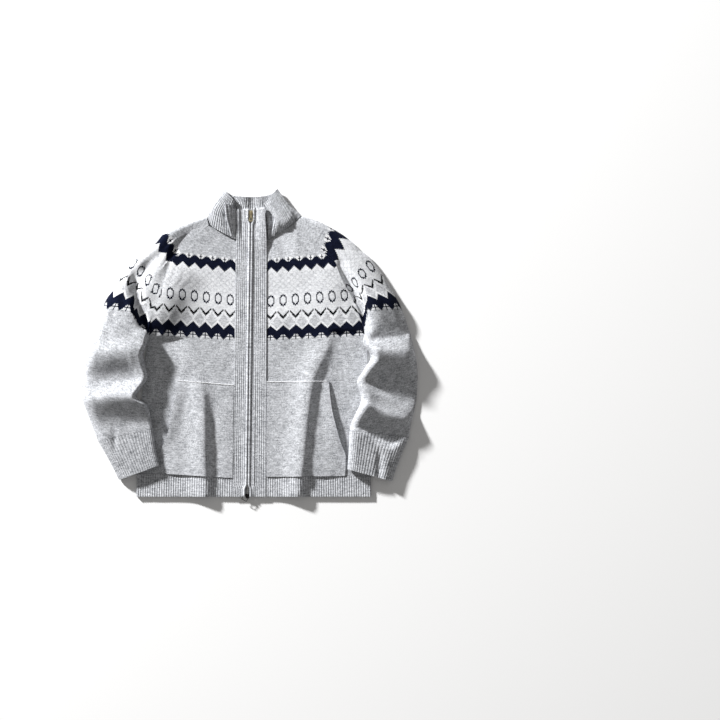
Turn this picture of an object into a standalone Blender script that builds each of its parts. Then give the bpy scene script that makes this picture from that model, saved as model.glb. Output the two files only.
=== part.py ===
"""A zip cardigan in heavy wool, knitted flat and laid on its back on a table, zip closed.

Left and right are the wearer's. Sizes are in millimetres: X runs from the zip to the wearer's left,
Y from the hem's edge to the collar, and Z up from the table. Each piece that is cut and sewn is one
closed cloth wall, made from an outer and an inner grid of points.
"""

from collections import namedtuple

import bmesh
import bpy
import numpy as np

MM = 0.001

# Cloth
WALL = 2.6  # knitted wool
RIB_WALL = 3.0  # rib, without the raised ribs
CUFF_WALL = 2.4
RIB_RISE = 1.1  # how far a rib stands up
RIB_PITCH = 6.9
BACK_WALL = 3.0
SEAM = 0.36  # gap between two pieces at a seam
LAYER = 0.4  # gap between two pieces that lie on each other

SHARP = np.radians(72)  # edges that turn more than this look hard

# Heights of the layers over the table
FRONT_Z = BACK_WALL + 0.3  # underside of the fronts where they lie on the back
STACK_Z = 8.0  # underside of a sleeve where it lies on the body
PLACKET_Z = 4.6

# Body, from the zip (X) and from the hem's edge (Y)
ZIP_TOP, ZIP_BOTTOM = (4.0, 712.0), (-5.0, 0.0)
ARMPIT_ROW = 7  # the sleeve section that passes through the armpit
STEPS = 2  # grid rows between two sections

Side = namedtuple("Side", "x y")
Neck = namedtuple("Neck", "x y")
Section = namedtuple("Section", "inner_x inner_y outer_x outer_y seam_z inner_z outer_z")
Fold = namedtuple("Fold", "x0 y0 x1 y1 width height")
Mouth = namedtuple("Mouth", "x y gape")
Stand = namedtuple("Stand", "base_x base_y base_z mid_x mid_y mid_z rim_x rim_y rim_z ribs flat")

# Sleeve sections, from the neck to the cuff's seam. The inner end is on the raglan seam down to the
# armpit and on the underarm fold below it; the outer end is on the overarm fold. seam_z is the
# cloth's height at the raglan, inner_z and outer_z the sleeve's height near its two folds.
SLEEVE_RIGHT = (
    Section(-101, 669, -105, 690, 12, 13, 12),
    Section(-135, 641, -147, 678, 14, 19, 16),
    Section(-172, 606, -204, 655, 18, 25, 21),
    Section(-191, 579, -231, 626, 24, 30, 25),
    Section(-209, 535, -258, 604, 26, 34, 29),
    Section(-221, 498, -295, 573, 24, 38, 33),
    Section(-241, 441, -354, 485, 16, 42, 35),
    Section(-248, 394, -374, 429, 9, 42, 34),
    Section(-251, 379, -391, 384, 9, 39, 32),
    Section(-261, 350, -404, 342, 9, 37, 31),
    Section(-256, 320, -410, 315, 9, 37, 31),
    Section(-252, 290, -415, 290, 9, 37, 31),
    Section(-278, 248, -414, 246, 9, 37, 31),
    Section(-251, 224, -401, 209, 9, 37, 31),
    Section(-238, 169, -374, 137, 9, 35, 29),
)
SLEEVE_LEFT = (
    Section(103, 668, 130, 692, 12, 13, 12),
    Section(144, 636, 174, 678, 15, 21, 15),
    Section(199, 589, 224, 650, 19, 28, 18),
    Section(211, 579, 253, 629, 20, 30, 18),
    Section(224, 547, 273, 609, 20, 34, 20),
    Section(236, 522, 308, 577, 19, 39, 20),
    Section(256, 484, 369, 478, 14, 46, 18),
    Section(283, 411, 394, 411, 9, 46, 17),
    Section(280, 379, 401, 387, 9, 45, 17),
    Section(299, 345, 411, 342, 9, 45, 17),
    Section(280, 310, 414, 315, 9, 45, 17),
    Section(266, 283, 415, 288, 9, 45, 17),
    Section(275, 238, 411, 233, 9, 44, 17),
    Section(253, 186, 399, 182, 9, 41, 18),
    Section(247, 164, 394, 147, 9, 37, 19),
)
# The cuffs, from their seam to the edge
CUFF_RIGHT = (
    Section(-238, 169, -374, 137, 9, 35, 29),
    Section(-231, 115, -344, 85, 9, 30, 25),
    Section(-222, 78, -322, 41, 9, 28, 23),
)
CUFF_LEFT = (
    Section(247, 164, 394, 147, 9, 37, 19),
    Section(245, 112, 370, 90, 9, 33, 20),
    Section(242, 68, 352, 38, 9, 29, 20),
)

# Side edges of the body, from the armpit to the hem
SIDE_RIGHT = (
    Side(-248, 394),
    Side(-256, 350),
    Side(-263, 263),
    Side(-273, 164),
    Side(-278, 55),
    Side(-279, 0),
)
SIDE_LEFT = (
    Side(283, 411),
    Side(290, 362),
    Side(293, 263),
    Side(298, 164),
    Side(299, 51),
    Side(300, 0),
)

# Back neckline, from the right raglan to the left one
BACK_NECK = (Neck(-86, 680), Neck(-45, 674.5), Neck(0, 672), Neck(45, 675), Neck(95, 684))

# Pocket mouths, from the pocket's seam to the hem's seam, and how far the edge stands up
MOUTH_RIGHT = (
    Mouth(-182, 287, 0.5),
    Mouth(-180, 263, 3),
    Mouth(-186, 233, 5),
    Mouth(-194, 194, 6),
    Mouth(-201, 159, 5),
    Mouth(-214, 127, 2.5),
    Mouth(-219, 104, 0.5),
    Mouth(-217, 57, 0),
)
MOUTH_LEFT = (
    Mouth(196, 285, 0.5),
    Mouth(199, 251, 3),
    Mouth(204, 214, 5),
    Mouth(213, 177, 7),
    Mouth(225, 135, 5),
    Mouth(236, 107, 2),
    Mouth(237, 85, 0.5),
    Mouth(236, 51, 0),
)

# Folds: ridges (height over 0) and troughs (under 0) along straight lines
BODY_FOLDS = (
    Fold(-116, 285, -114, 30, 18, 13),
    Fold(-150, 395, -122, 330, 20, 4),
    Fold(182, 368, 147, 288, 18, 11),
    Fold(147, 275, 139, 140, 17, 14),
    Fold(138, 128, 133, 10, 16, 13),
    Fold(64, 620, 72, 588, 12, 4),
    Fold(132, 640, 140, 596, 12, 4),
)
FOLDS_RIGHT = (
    Fold(-288, 556, -258, 420, 17, -20),
    Fold(-396, 360, -262, 354, 23, 15),
    Fold(-412, 298, -250, 302, 22, -13),
    Fold(-412, 243, -276, 243, 23, 16),
    Fold(-392, 178, -238, 172, 22, -12),
    Fold(-330, 545, -300, 470, 20, 5),
)
FOLDS_LEFT = (
    Fold(266, 520, 281, 424, 15, -17),
    Fold(288, 488, 392, 480, 22, 9),
    Fold(286, 392, 402, 400, 20, -13),
    Fold(286, 352, 410, 356, 16, 15),
    Fold(276, 306, 408, 300, 20, -11),
    Fold(268, 268, 398, 200, 16, 16),
    Fold(260, 212, 388, 152, 18, -9),
    Fold(322, 122, 326, 40, 8, -8),
)

# The collar's strip, from the right placket round the neck to the left one, as the middle of its
# wall at the neckline, half way up and at the rim. ribs is how many ribs lead to the next row, and
# flat is 1 where the strip lies on the table.
COLLAR = (
    Stand(-34.6, 632.9, 7, -34.1, 672, 7, -33.6, 712, 7, 1, 0),
    Stand(-41, 636.6, 6.4, -43, 674, 6, -37, 717, 6.6, 2, 0),
    Stand(-50, 641.6, 8, -53, 680, 8, -42, 723, 9, 1, 0),
    Stand(-58, 646.1, 15, -61, 690, 24, -46, 731, 16, 2, 0),
    Stand(-75, 655.6, 13, -69, 700, 20, -50, 741, 14, 3, 0),
    Stand(-92, 665.1, 12, -81, 708, 16, -54, 749, 12, 2, 0),
    Stand(-98.5, 677, 11, -89, 716, 13, -58, 755, 10, 2, 0),
    Stand(-103, 692.5, 6, -84, 725, 6, -60, 758, 5.5, 1, 0.6),
    Stand(-95, 686.3, 1.9, -74, 717, 1.9, -51, 748, 1.9, 1, 1),
    Stand(-84, 681.3, 1.7, -62, 711, 1.7, -36, 742, 1.7, 1, 1),
    Stand(-45, 675.7, 1.7, -33, 709, 1.7, -20, 741, 1.7, 1, 1),
    Stand(0, 673.2, 1.7, 0.5, 707, 1.7, 1, 740, 1.7, 1, 1),
    Stand(45, 676.2, 1.7, 33, 709, 1.7, 21, 741, 1.7, 1, 1),
    Stand(94, 685.3, 1.7, 69, 714, 1.7, 42, 743, 1.7, 1, 1),
    Stand(112, 689.3, 1.9, 86, 717, 1.9, 58, 749, 1.9, 1, 1),
    Stand(128, 693.5, 6, 99, 717, 6, 68, 758, 5.5, 1, 0.6),
    Stand(114.5, 680, 9, 104, 706, 16, 66, 756, 10, 2, 0),
    Stand(102.5, 669.7, 8, 97, 694, 23, 62, 752, 13, 2, 0),
    Stand(88, 660.3, 7.5, 83, 686, 26, 57, 746, 14, 2, 0),
    Stand(74, 651.1, 7.5, 71, 684, 25, 51, 739, 15, 1, 0),
    Stand(62, 643.2, 7.5, 63, 678, 17, 46, 731, 13, 1, 0),
    Stand(54, 637.9, 6.4, 52, 674, 7, 42, 724, 8, 1, 0),
    Stand(45.8, 632.9, 7, 43.9, 673, 7, 40.2, 716, 7, 1, 0),
)

# Zip
TAPE = 14.0  # half its width
TAPE_WALL = 1.0
CHAIN = 2.4  # half its width
CHAIN_RISE = 2.5
PLACKET_CLEAR = 3.1  # from the zip's middle to a placket's edge
SLIDER_CLEAR = 2.2  # more beside a slider
SLIDER_TOP_Y = 701.0
SLIDER_BOTTOM_Y = 1.0
SLIDER_WALL = 1.5
BAR_RISE = 1.25  # pull's bar over the slider
BOTTOM_TURN = np.radians(-30)  # how the lower pull lies, seen from above

KNIT = ("wool_knit", (0.52, 0.53, 0.55, 1), 0.95, 0.0)
RIB = ("wool_rib", (0.5, 0.51, 0.53, 1), 0.95, 0.0)
TAPE_CLOTH = ("zip_tape", (0.42, 0.43, 0.45, 1), 0.8, 0.0)
BRASS = ("pale_brass", (0.62, 0.56, 0.4, 1), 0.3, 1.0)
BLACK_METAL = ("black_metal", (0.02, 0.02, 0.02, 1), 0.35, 1.0)


def material(finish):
    name, colour, roughness, metallic = finish
    found = bpy.data.materials.get(name)
    if found:
        return found
    made = bpy.data.materials.new(name)
    made.use_nodes = True
    surface = made.node_tree.nodes["Principled BSDF"]
    surface.inputs["Base Color"].default_value = colour
    surface.inputs["Roughness"].default_value = roughness
    surface.inputs["Metallic"].default_value = metallic
    made.diffuse_color = colour
    return made


def smooth(t):
    t = np.clip(t, 0.0, 1.0)
    return t * t * (3.0 - 2.0 * t)


def rounded(distance, radius):
    """0 on a fold, 1 from radius inwards, as a quarter of a circle."""
    t = np.clip(distance / radius, 0.0, 1.0)
    return np.sqrt(1.0 - (1.0 - t) ** 2)


def spline(rows, steps):
    """A smooth curve through the rows, with steps points from each row to the next."""
    rows = np.asarray(rows, float)
    before = np.vstack([2 * rows[0] - rows[1], rows[:-1]])
    after = np.vstack([rows[1:], 2 * rows[-1] - rows[-2]])
    points = []
    for i in range(len(rows) - 1):
        start_slope = (rows[i + 1] - before[i]) / 2
        end_slope = (after[i + 1] - rows[i]) / 2
        count = steps[i] if np.ndim(steps) else steps
        for t in np.arange(count) / count:
            points.append(
                (2 * t**3 - 3 * t**2 + 1) * rows[i]
                + (t**3 - 2 * t**2 + t) * start_slope
                + (3 * t**2 - 2 * t**3) * rows[i + 1]
                + (t**3 - t**2) * end_slope
            )
    points.append(rows[-1])
    return np.array(points)


def relief(x, y, folds):
    """How far the folds lift the cloth at x, y."""
    lift = np.zeros(np.broadcast(x, y).shape)
    for fold in folds:
        dx = fold.x1 - fold.x0
        dy = fold.y1 - fold.y0
        along = np.clip(((x - fold.x0) * dx + (y - fold.y0) * dy) / (dx * dx + dy * dy), 0, 1)
        distance = np.hypot(x - fold.x0 - along * dx, y - fold.y0 - along * dy)
        lift = lift + fold.height * np.exp(-((distance / fold.width) ** 2))
    return lift


def zip_x(y):
    share = (y - ZIP_BOTTOM[1]) / (ZIP_TOP[1] - ZIP_BOTTOM[1])
    return ZIP_BOTTOM[0] + (ZIP_TOP[0] - ZIP_BOTTOM[0]) * share


def placket_edge(side, y):
    """X of a placket's outer edge, which the front, the hem and the collar meet."""
    if side < 0:
        return -42.0 + 10.0 * y / 710.0
    return np.interp(y, (0.0, 634.0, 718.0), (41.0, 44.0, 38.0))


def add_object(name, mesh_maker, finish):
    mesh = bpy.data.meshes.new(name)
    shape = bmesh.new()
    mesh_maker(shape)
    bmesh.ops.recalc_face_normals(shape, faces=shape.faces)
    shape.to_mesh(mesh)
    shape.free()
    mesh.materials.append(material(finish))
    mesh.shade_smooth()
    mesh.set_sharp_from_angle(angle=SHARP)
    made = bpy.data.objects.new(name, mesh)
    bpy.context.scene.collection.objects.link(made)
    return made


def wall(name, outer, inner, finish):
    """One closed cloth wall from two grids of the same shape, in mm, joined round their rims."""
    rows, columns = outer.shape[:2]

    def make(shape):
        sides = []
        for grid in (outer, inner):
            points = grid.reshape(-1, 3) * MM
            sides.append([shape.verts.new(point) for point in points])
        for verts in sides:
            for r in range(rows - 1):
                for c in range(columns - 1):
                    k = r * columns + c
                    corners = (k, k + 1, k + columns + 1, k + columns)
                    shape.faces.new([verts[corner] for corner in corners])
        rim = [r * columns for r in range(rows)]
        rim += [(rows - 1) * columns + c for c in range(1, columns)]
        rim += [r * columns + columns - 1 for r in range(rows - 2, -1, -1)]
        rim += list(range(columns - 2, 0, -1))
        for k, after in zip(rim, rim[1:] + rim[:1]):
            shape.faces.new((sides[0][k], sides[0][after], sides[1][after], sides[1][k]))

    return add_object(name, make, finish)


def raised(grid, height):
    lifted = grid.copy()
    lifted[..., 2] += height
    return lifted


def offset_line(points, distance):
    """A line of plan points moved sideways, to the right of its run where distance is over 0."""
    along = np.gradient(points, axis=0)
    along /= np.linalg.norm(along, axis=1)[:, None]
    return points + distance * np.stack([along[:, 1], -along[:, 0]], axis=1)


def side_x(side, y):
    table = SIDE_RIGHT if side < 0 else SIDE_LEFT
    ys = [point.y for point in reversed(table)]
    xs = [point.x for point in reversed(table)]
    return np.interp(y, ys, xs)


def raglan(side):
    """The raglan seam's plan points and heights, from the neck to the armpit."""
    sections = SLEEVE_RIGHT if side < 0 else SLEEVE_LEFT
    line = spline(sections, STEPS)[: ARMPIT_ROW * STEPS + 1]
    return line[:, :2], line[:, 4]


def back_raglan(side):
    """The back's raglan starts nearer to the neck's middle and joins the front's by the armpit."""
    line, _ = raglan(side)
    neck = BACK_NECK[0] if side < 0 else BACK_NECK[-1]
    share = np.clip(1.0 - np.arange(len(line)) / (len(line) - 1 - STEPS), 0, 1)
    return line + share[:, None] * (np.array(neck) - line[0])


# Front panels

COLUMNS_TO_MOUTH = np.array((0, 0.14, 0.26, 0.34, 0.41, 0.48, 0.55, 0.63, 0.74, 0.87, 1))
COLUMNS_TO_SIDE = np.array((0.25, 0.5, 0.75, 1))
ROWS_TO_POCKET = 5
ROWS_OF_POCKET = 9
FRONT_NECK_Y = 631.5
GUIDE = 0.64  # share of a row where the pocket mouth's line starts, up to the neck
POCKET_SEAM_Y = {-1: 275.0, 1: 283.0}  # at the placket
HEM_SEAM_Y = {-1: 46.0, 1: 49.0}  # at the placket
BODY_PUFF = 2.4
SLEEVE_REACH = 60.0  # how far a sleeve lies over the body's side
RAGLAN_REACH = 42.0  # how far from its seam a raglan lifts the front


def front_edges(side):
    """Plan points of a front's rows: at the placket, on the pocket mouth's line and at the side."""
    seam, _ = raglan(side)
    seam = offset_line(seam, side * SEAM / 2)
    mouth = spline(MOUTH_RIGHT if side < 0 else MOUTH_LEFT, 4)
    fall = (seam[0, 1] - seam[:, 1]) / (seam[0, 1] - seam[-1, 1])
    armpit_y = seam[-1, 1]
    inner_y = FRONT_NECK_Y + fall * (armpit_y - FRONT_NECK_Y)
    inner = np.stack([placket_edge(side, inner_y) + side * SEAM, inner_y], axis=1)
    guide = inner + GUIDE * (seam - inner)
    outer = seam
    for share in np.arange(1, ROWS_TO_POCKET + 1) / ROWS_TO_POCKET:
        y = armpit_y + share * (POCKET_SEAM_Y[side] - armpit_y)
        inner = np.vstack([inner, (placket_edge(side, y) + side * SEAM, y)])
        side_y = armpit_y + share * (mouth[0, 1] - armpit_y)
        outer = np.vstack([outer, (side_x(side, side_y), side_y)])
        start = guide[len(seam) - 1]
        guide = np.vstack([guide, start + share * (mouth[0, :2] - start)])
    for share in np.arange(1, ROWS_OF_POCKET + 1) / ROWS_OF_POCKET:
        y = POCKET_SEAM_Y[side] + share * (HEM_SEAM_Y[side] - POCKET_SEAM_Y[side])
        inner = np.vstack([inner, (placket_edge(side, y) + side * SEAM, y)])
        mouth_y = mouth[0, 1] + share * (mouth[-1, 1] - mouth[0, 1])
        guide = np.vstack([guide, (np.interp(-mouth_y, -mouth[:, 1], mouth[:, 0]), mouth_y)])
        outer = np.vstack([outer, (side_x(side, mouth_y), mouth_y)])
    return inner, guide, outer


def beside_sleeve(side, x, y):
    """0 where a sleeve may lie on the body, 1 further in."""
    return smooth((np.abs(x - side_x(side, y)) - SLEEVE_REACH) / 40.0)


def body_lift(side, x, y):
    """How far a front stands off the back."""
    middle = (placket_edge(side, y) + side_x(side, y)) / 2
    half = np.abs(side_x(side, y) - placket_edge(side, y)) / 2
    puff = BODY_PUFF * smooth(1.0 - np.abs(x - middle) / half) * smooth(y / 80.0)
    return puff + relief(x, y, BODY_FOLDS)


def raglan_lift(side, x, y):
    """How far the raglan seam lifts the front beside it."""
    line, height = raglan(side)
    away = np.hypot(x[..., None] - line[:, 0], y[..., None] - line[:, 1])
    near = np.argmin(away, axis=-1)
    top = FRONT_Z + WALL
    return (height[near] - top) * np.exp(-((away.min(axis=-1) / RAGLAN_REACH) ** 2))


def front_grid(side):
    inner, guide, outer = front_edges(side)
    to_mouth = inner[:, None] + COLUMNS_TO_MOUTH[:, None] * (guide - inner)[:, None]
    to_side = guide[:, None] + COLUMNS_TO_SIDE[:, None] * (outer - guide)[:, None]
    plan = np.concatenate([to_mouth, to_side], axis=1)
    x, y = plan[..., 0], plan[..., 1]
    raglan_rows = ARMPIT_ROW * STEPS + 1
    below = np.arange(len(plan)) >= raglan_rows
    fade = np.where(below, smooth((y[:, -1] - 300.0) / 100.0), 1.0)
    lift = body_lift(side, x, y) + raglan_lift(side, x, y) * fade[:, None]
    lift = np.where(below[:, None], lift * beside_sleeve(side, x, y), lift)
    return np.stack([x, y, FRONT_Z + lift], axis=-1)


def make_front(side, name):
    under = front_grid(side)
    wall(f"front_{name}", raised(under, WALL), under, KNIT)
    first = len(under) - 1 - ROWS_OF_POCKET
    mouth_column = len(COLUMNS_TO_MOUTH)
    patch = raised(under[first:-1, :mouth_column], WALL + LAYER)
    last = under[-1:, :mouth_column].copy()
    patch = np.concatenate([patch, raised(last, WALL + LAYER)])
    mouth = spline(MOUTH_RIGHT if side < 0 else MOUTH_LEFT, 4)
    gape = np.interp(-patch[:, -1, 1], -mouth[:, 1], mouth[:, 2])
    patch[:, -1, 2] += gape
    patch[:, -2, 2] += 0.3 * gape
    wall(f"pocket_{name}", raised(patch, WALL), patch, KNIT)


# Back panel

BACK_COLUMNS = 6
BACK_ROWS_TO_HEM = 5


def make_back():
    right, left = back_raglan(-1), back_raglan(1)
    right = offset_line(right, -SEAM / 2)
    left = offset_line(left, SEAM / 2)
    for share in np.arange(1, BACK_ROWS_TO_HEM + 1) / BACK_ROWS_TO_HEM:
        for_right = SIDE_RIGHT[0].y + share * (SIDE_RIGHT[-2].y - SIDE_RIGHT[0].y)
        for_left = SIDE_LEFT[0].y + share * (SIDE_LEFT[-2].y - SIDE_LEFT[0].y)
        right = np.vstack([right, (side_x(-1, for_right), for_right)])
        left = np.vstack([left, (side_x(1, for_left), for_left)])
    across = np.linspace(0, 1, BACK_COLUMNS + 1)[:, None]
    plan = right[:, None] + across * (left - right)[:, None]
    neck = spline(BACK_NECK, 8)
    dip = np.interp(plan[0, :, 0], neck[:, 0], neck[:, 1]) - plan[0, :, 1]
    fade = smooth(1.0 - np.arange(len(plan)) / 5.0)
    plan[..., 1] += fade[:, None] * dip
    under = np.concatenate([plan, np.zeros(plan.shape[:2] + (1,))], axis=-1)
    wall("back_panel", raised(under, BACK_WALL), under, KNIT)


# Sleeves and cuffs

TOP_COLUMNS = 14
UNDER_EDGE = 0.045  # share of a row, beside a fold on the underside
CUFF_COLUMNS = 30
EDGE = 5.0  # height of a fold over what the sleeve lies on
ROUND = {"inner": 30.0, "outer": 26.0, "under": 6.0}
STEP_START, STEP_END = -17.0, -2.5  # where a sleeve steps up on the body, from the body's side


def sleeve_floor(side, x, y):
    """Height of what lies under a sleeve: the table, or the body's layers."""
    inside = -side * (x - side_x(side, y))
    return STACK_Z * smooth((inside - STEP_START) / (STEP_END - STEP_START))


def under_shares(side, start, end):
    """Shares of each underside row, from the outer fold inwards, closest where it steps up."""
    across = np.abs(end[..., 0] - start[..., 0])
    inside = -side * (start[..., 0] - side_x(side, start[..., 1]))
    step_end = np.clip((inside - STEP_END) / across, 0.05, 0.7)
    step_start = np.clip((inside - STEP_START) / across, step_end + 0.06, 0.82)
    beside_fold = np.minimum(UNDER_EDGE, step_end / 2)
    flat = np.ones_like(across)
    shares = ((1 - UNDER_EDGE) * flat, 0.88 * flat, step_start, (step_start + step_end) / 2, step_end)
    return np.concatenate(shares + (beside_fold, 0 * flat), axis=1)


def tube(side, rows, shut, folds, top_share, inset, back_shift):
    """Points of a sleeve's surface, inset into the cloth, a row for each section.

    A row runs from the inner end over the top to the outer fold and back underneath. shut is 1
    where the sleeve is a tube and 0 where its ends are on the raglan seams.
    """
    start, end = rows[:, None, 0:2], rows[:, None, 2:4]
    width = np.linalg.norm(end - start, axis=-1)
    shut = shut[:, None]
    direction = (end - start) / width[..., None]
    low = inset * shut
    across = low + (width - inset - low) * top_share
    plan = start + direction * across[..., None]
    x, y = plan[..., 0], plan[..., 1]
    floor = sleeve_floor(side, x, y) * shut
    crest = rows[:, None, 5] + (rows[:, None, 6] - rows[:, None, 5]) * top_share
    from_seam = 1 - (1 - shut) * (1 - smooth(top_share / 0.5))
    crest = rows[:, None, 4] + (crest - rows[:, None, 4]) * from_seam
    crest = crest + relief(x, y, folds) * smooth(top_share / 0.12 + shut)
    crest = np.maximum(crest, floor + EDGE + 5.0)
    room = np.minimum(1.0, width / 90.0)
    inner_edge = 1 - shut * (1 - rounded(across - low, ROUND["inner"] * room))
    outer_edge = rounded(width - inset - across, ROUND["outer"] * room)
    base = floor + EDGE
    top = base + (crest - inset - base) * inner_edge * outer_edge
    top[:, 0] += shut[:, 0] * SEAM / 2

    start = start + back_shift[:, None]
    under_share = under_shares(side, start, end)
    width = np.linalg.norm(end - start, axis=-1)
    direction = (end - start) / width[..., None]
    across = low + (width - inset - low) * under_share
    under_plan = start + direction * across[..., None]
    floor = sleeve_floor(side, under_plan[..., 0], under_plan[..., 1]) * shut
    inner_edge = 1 - shut * (1 - rounded(across - low, ROUND["under"]))
    outer_edge = rounded(width - inset - across, ROUND["under"])
    edge = inner_edge * outer_edge
    under = floor + EDGE - (EDGE - inset) * edge
    under[:, -1] -= shut[:, 0] * SEAM / 2
    plan = np.concatenate([plan, under_plan], axis=1)
    return np.concatenate([plan, np.concatenate([top, under], axis=1)[..., None]], axis=-1)


def spread(count, ease):
    """Shares from 0 to 1, closer to each other near both ends."""
    even = np.linspace(0, 1, count + 1)
    return (1 - ease) * even + ease * (1 - np.cos(np.pi * even)) / 2


def make_sleeve(side, name):
    rows = spline(SLEEVE_RIGHT if side < 0 else SLEEVE_LEFT, STEPS)
    folds = FOLDS_RIGHT if side < 0 else FOLDS_LEFT
    armpit = ARMPIT_ROW * STEPS
    shut = np.clip((np.arange(len(rows)) - (armpit - STEPS)) / STEPS, 0, 1)
    rows[: armpit + 1, :2] = offset_line(rows[: armpit + 1, :2], -side * SEAM / 2)
    shift = np.zeros((len(rows), 2))
    front_line, _ = raglan(side)
    shift[: armpit + 1] = back_raglan(side) - front_line
    top_share = spread(TOP_COLUMNS, 0.8)
    grids = [tube(side, rows, shut, folds, top_share, inset, shift) for inset in (0.0, WALL)]
    wall(f"sleeve_{name}", grids[0], grids[1], KNIT)


def make_cuff(side, name):
    rows = spline(CUFF_RIGHT if side < 0 else CUFF_LEFT, 2)
    folds = FOLDS_RIGHT if side < 0 else FOLDS_LEFT
    for ends in (slice(0, 2), slice(2, 4)):
        along = rows[1, ends] - rows[0, ends]
        rows[0, ends] += along / np.linalg.norm(along) * 2 * SEAM
    shut = np.ones(len(rows))
    shift = np.zeros((len(rows), 2))
    top_share = spread(CUFF_COLUMNS, 0.5)
    outer = tube(side, rows, shut, folds, top_share, 0.0, shift)
    inner = tube(side, rows, shut, folds, top_share, CUFF_WALL, shift)
    ribs = np.arange(CUFF_COLUMNS + 1) % 2
    ribs[:3] = ribs[-3:] = 0
    outer[:, : CUFF_COLUMNS + 1, 2] += RIB_RISE * ribs
    wall(f"cuff_{name}", outer, inner, RIB)


# Rib hems

HEM_ROWS = 2


def make_front_hem(side, name):
    inner, guide, outer = front_edges(side)
    near, far = inner[-1], outer[-1]
    count = 2 * int(abs(far[0] - near[0]) / RIB_PITCH)
    across = np.linspace(0, 1, count + 1)[:, None]
    mouth_share = (guide[-1, 0] - near[0]) / (far[0] - near[0])
    top = near + across * (far - near)
    corner = (guide[-1, 1] - near[1], far[1] - near[1])
    top[:, 1] = near[1] + np.interp(across[:, 0], (0, mouth_share, 1), (0,) + corner)
    top[:, 1] -= 2 * SEAM
    start_x = placket_edge(side, 0.0) + side * SEAM
    bottom = np.zeros((count + 1, 2))
    bottom[:, 0] = start_x + across[:, 0] * (side_x(side, 0.0) - start_x)
    down = np.linspace(0, 1, HEM_ROWS + 1)[:, None, None]
    plan = top + down * (bottom - top)
    x, y = plan[..., 0], plan[..., 1]
    lift = relief(x, y, BODY_FOLDS) * beside_sleeve(side, x, y)
    under = np.stack([x, y, FRONT_Z + lift], axis=-1)
    outer_grid = raised(under, RIB_WALL)
    outer_grid[:, 1:-1, 2] += RIB_RISE * (np.arange(1, count) % 2)
    wall(f"hem_front_{name}", outer_grid, under, RIB)


def make_back_hem():
    across = np.linspace(0, 1, 2 * BACK_COLUMNS + 1)[:, None]
    right = np.array((SIDE_RIGHT[-2], SIDE_RIGHT[-1]), float)
    left = np.array((SIDE_LEFT[-2], SIDE_LEFT[-1]), float)
    rows = [right[k] + across * (left[k] - right[k]) for k in (0, 1)]
    rows[0][:, 1] -= 2 * SEAM
    plan = np.array(rows)
    under = np.concatenate([plan, np.zeros(plan.shape[:2] + (1,))], axis=-1)
    wall("hem_back", raised(under, BACK_WALL), under, RIB)


# Collar

COLLAR_ROWS = 5
COLLAR_SEAM = 1.4  # from the neckline to the strip, which stands at a slant


def make_collar():
    steps = [2 * stand.ribs for stand in COLLAR[:-1]]
    line = spline(COLLAR, steps)
    base, middle, rim = line[:, 0:3], line[:, 3:6], line[:, 6:9]
    flat = line[:, 10]
    rise = middle - base
    base = base + COLLAR_SEAM * rise / np.linalg.norm(rise, axis=1)[:, None]
    height = np.linspace(0, 1, COLLAR_ROWS + 1)[:, None, None]
    cloth = base * (1 - height) * (1 - 2 * height)
    cloth = cloth + middle * 4 * height * (1 - height)
    cloth = cloth + rim * height * (2 * height - 1)
    half = WALL / 2
    cloth[..., 2] = np.maximum(cloth[..., 2], half + 0.2)
    up = np.gradient(cloth, axis=0)
    round_neck = np.gradient(cloth, axis=1)
    normal = np.cross(round_neck, up)
    normal /= -np.linalg.norm(normal, axis=-1)[..., None]
    ribs = (np.arange(len(line)) % 2) * RIB_RISE * np.clip(1 - 2 * flat, 0, 1)
    outer = cloth + normal * (half + ribs[:, None])
    inner = cloth - normal * half
    wall("collar", outer, inner, RIB)


# Plackets, zip, sliders and pulls

PLACKET_ROWS = (0.0, 12.0, 26.0, 100.0, 190.0, 285.0, 380.0, 475.0, 570.0, 640.0, 686.0, 698.0)
PLACKET_TOP = {-1: 711.0, 1: 713.5}
SLIDER_REACH = 28.0  # how far along the zip a slider and its pull keep the plackets apart


def make_placket(side, name):
    y = np.array(PLACKET_ROWS + (PLACKET_TOP[side],))
    beside = np.minimum(np.abs(y - SLIDER_TOP_Y), np.abs(y - SLIDER_BOTTOM_Y))
    clear = PLACKET_CLEAR + SLIDER_CLEAR * smooth((SLIDER_REACH - beside) / 10.0)
    near = zip_x(y) + side * clear
    far = placket_edge(side, y)
    count = 2 * round(abs(far[5] - near[5]) / RIB_PITCH)
    across = np.linspace(0, 1, count + 1)
    x = near[:, None] + across * (far - near)[:, None]
    under = np.stack([x, np.broadcast_to(y[:, None], x.shape), np.full(x.shape, PLACKET_Z)], axis=-1)
    outer = raised(under, RIB_WALL)
    outer[:, 1:-1, 2] += RIB_RISE * (np.arange(1, count) % 2)
    wall(f"placket_{name}", outer, under, RIB)


def make_zip():
    y = np.linspace(ZIP_BOTTOM[1] + 1.5, ZIP_TOP[1] - 3.0, 5)
    steps = np.array((-TAPE, -CHAIN - 0.3, -CHAIN, CHAIN, CHAIN + 0.3, TAPE))
    rise = np.array((0, 0, 1, 1, 0, 0)) * CHAIN_RISE
    x = zip_x(y)[:, None] + steps
    under = np.stack([x, np.broadcast_to(y[:, None], x.shape), np.full(x.shape, FRONT_Z)], axis=-1)
    outer = raised(under, TAPE_WALL)
    outer[..., 2] += rise
    wall("zip", outer, under, TAPE_CLOTH)


def prism(outline, low, high):
    """A maker for an upright solid with this plan outline."""

    def make(shape):
        bottom = [shape.verts.new((x * MM, y * MM, low * MM)) for x, y in outline]
        top = [shape.verts.new((x * MM, y * MM, high * MM)) for x, y in outline]
        shape.faces.new(bottom)
        shape.faces.new(top)
        for k in range(len(outline)):
            after = (k + 1) % len(outline)
            shape.faces.new((bottom[k], bottom[after], top[after], top[k]))

    return make


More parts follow.
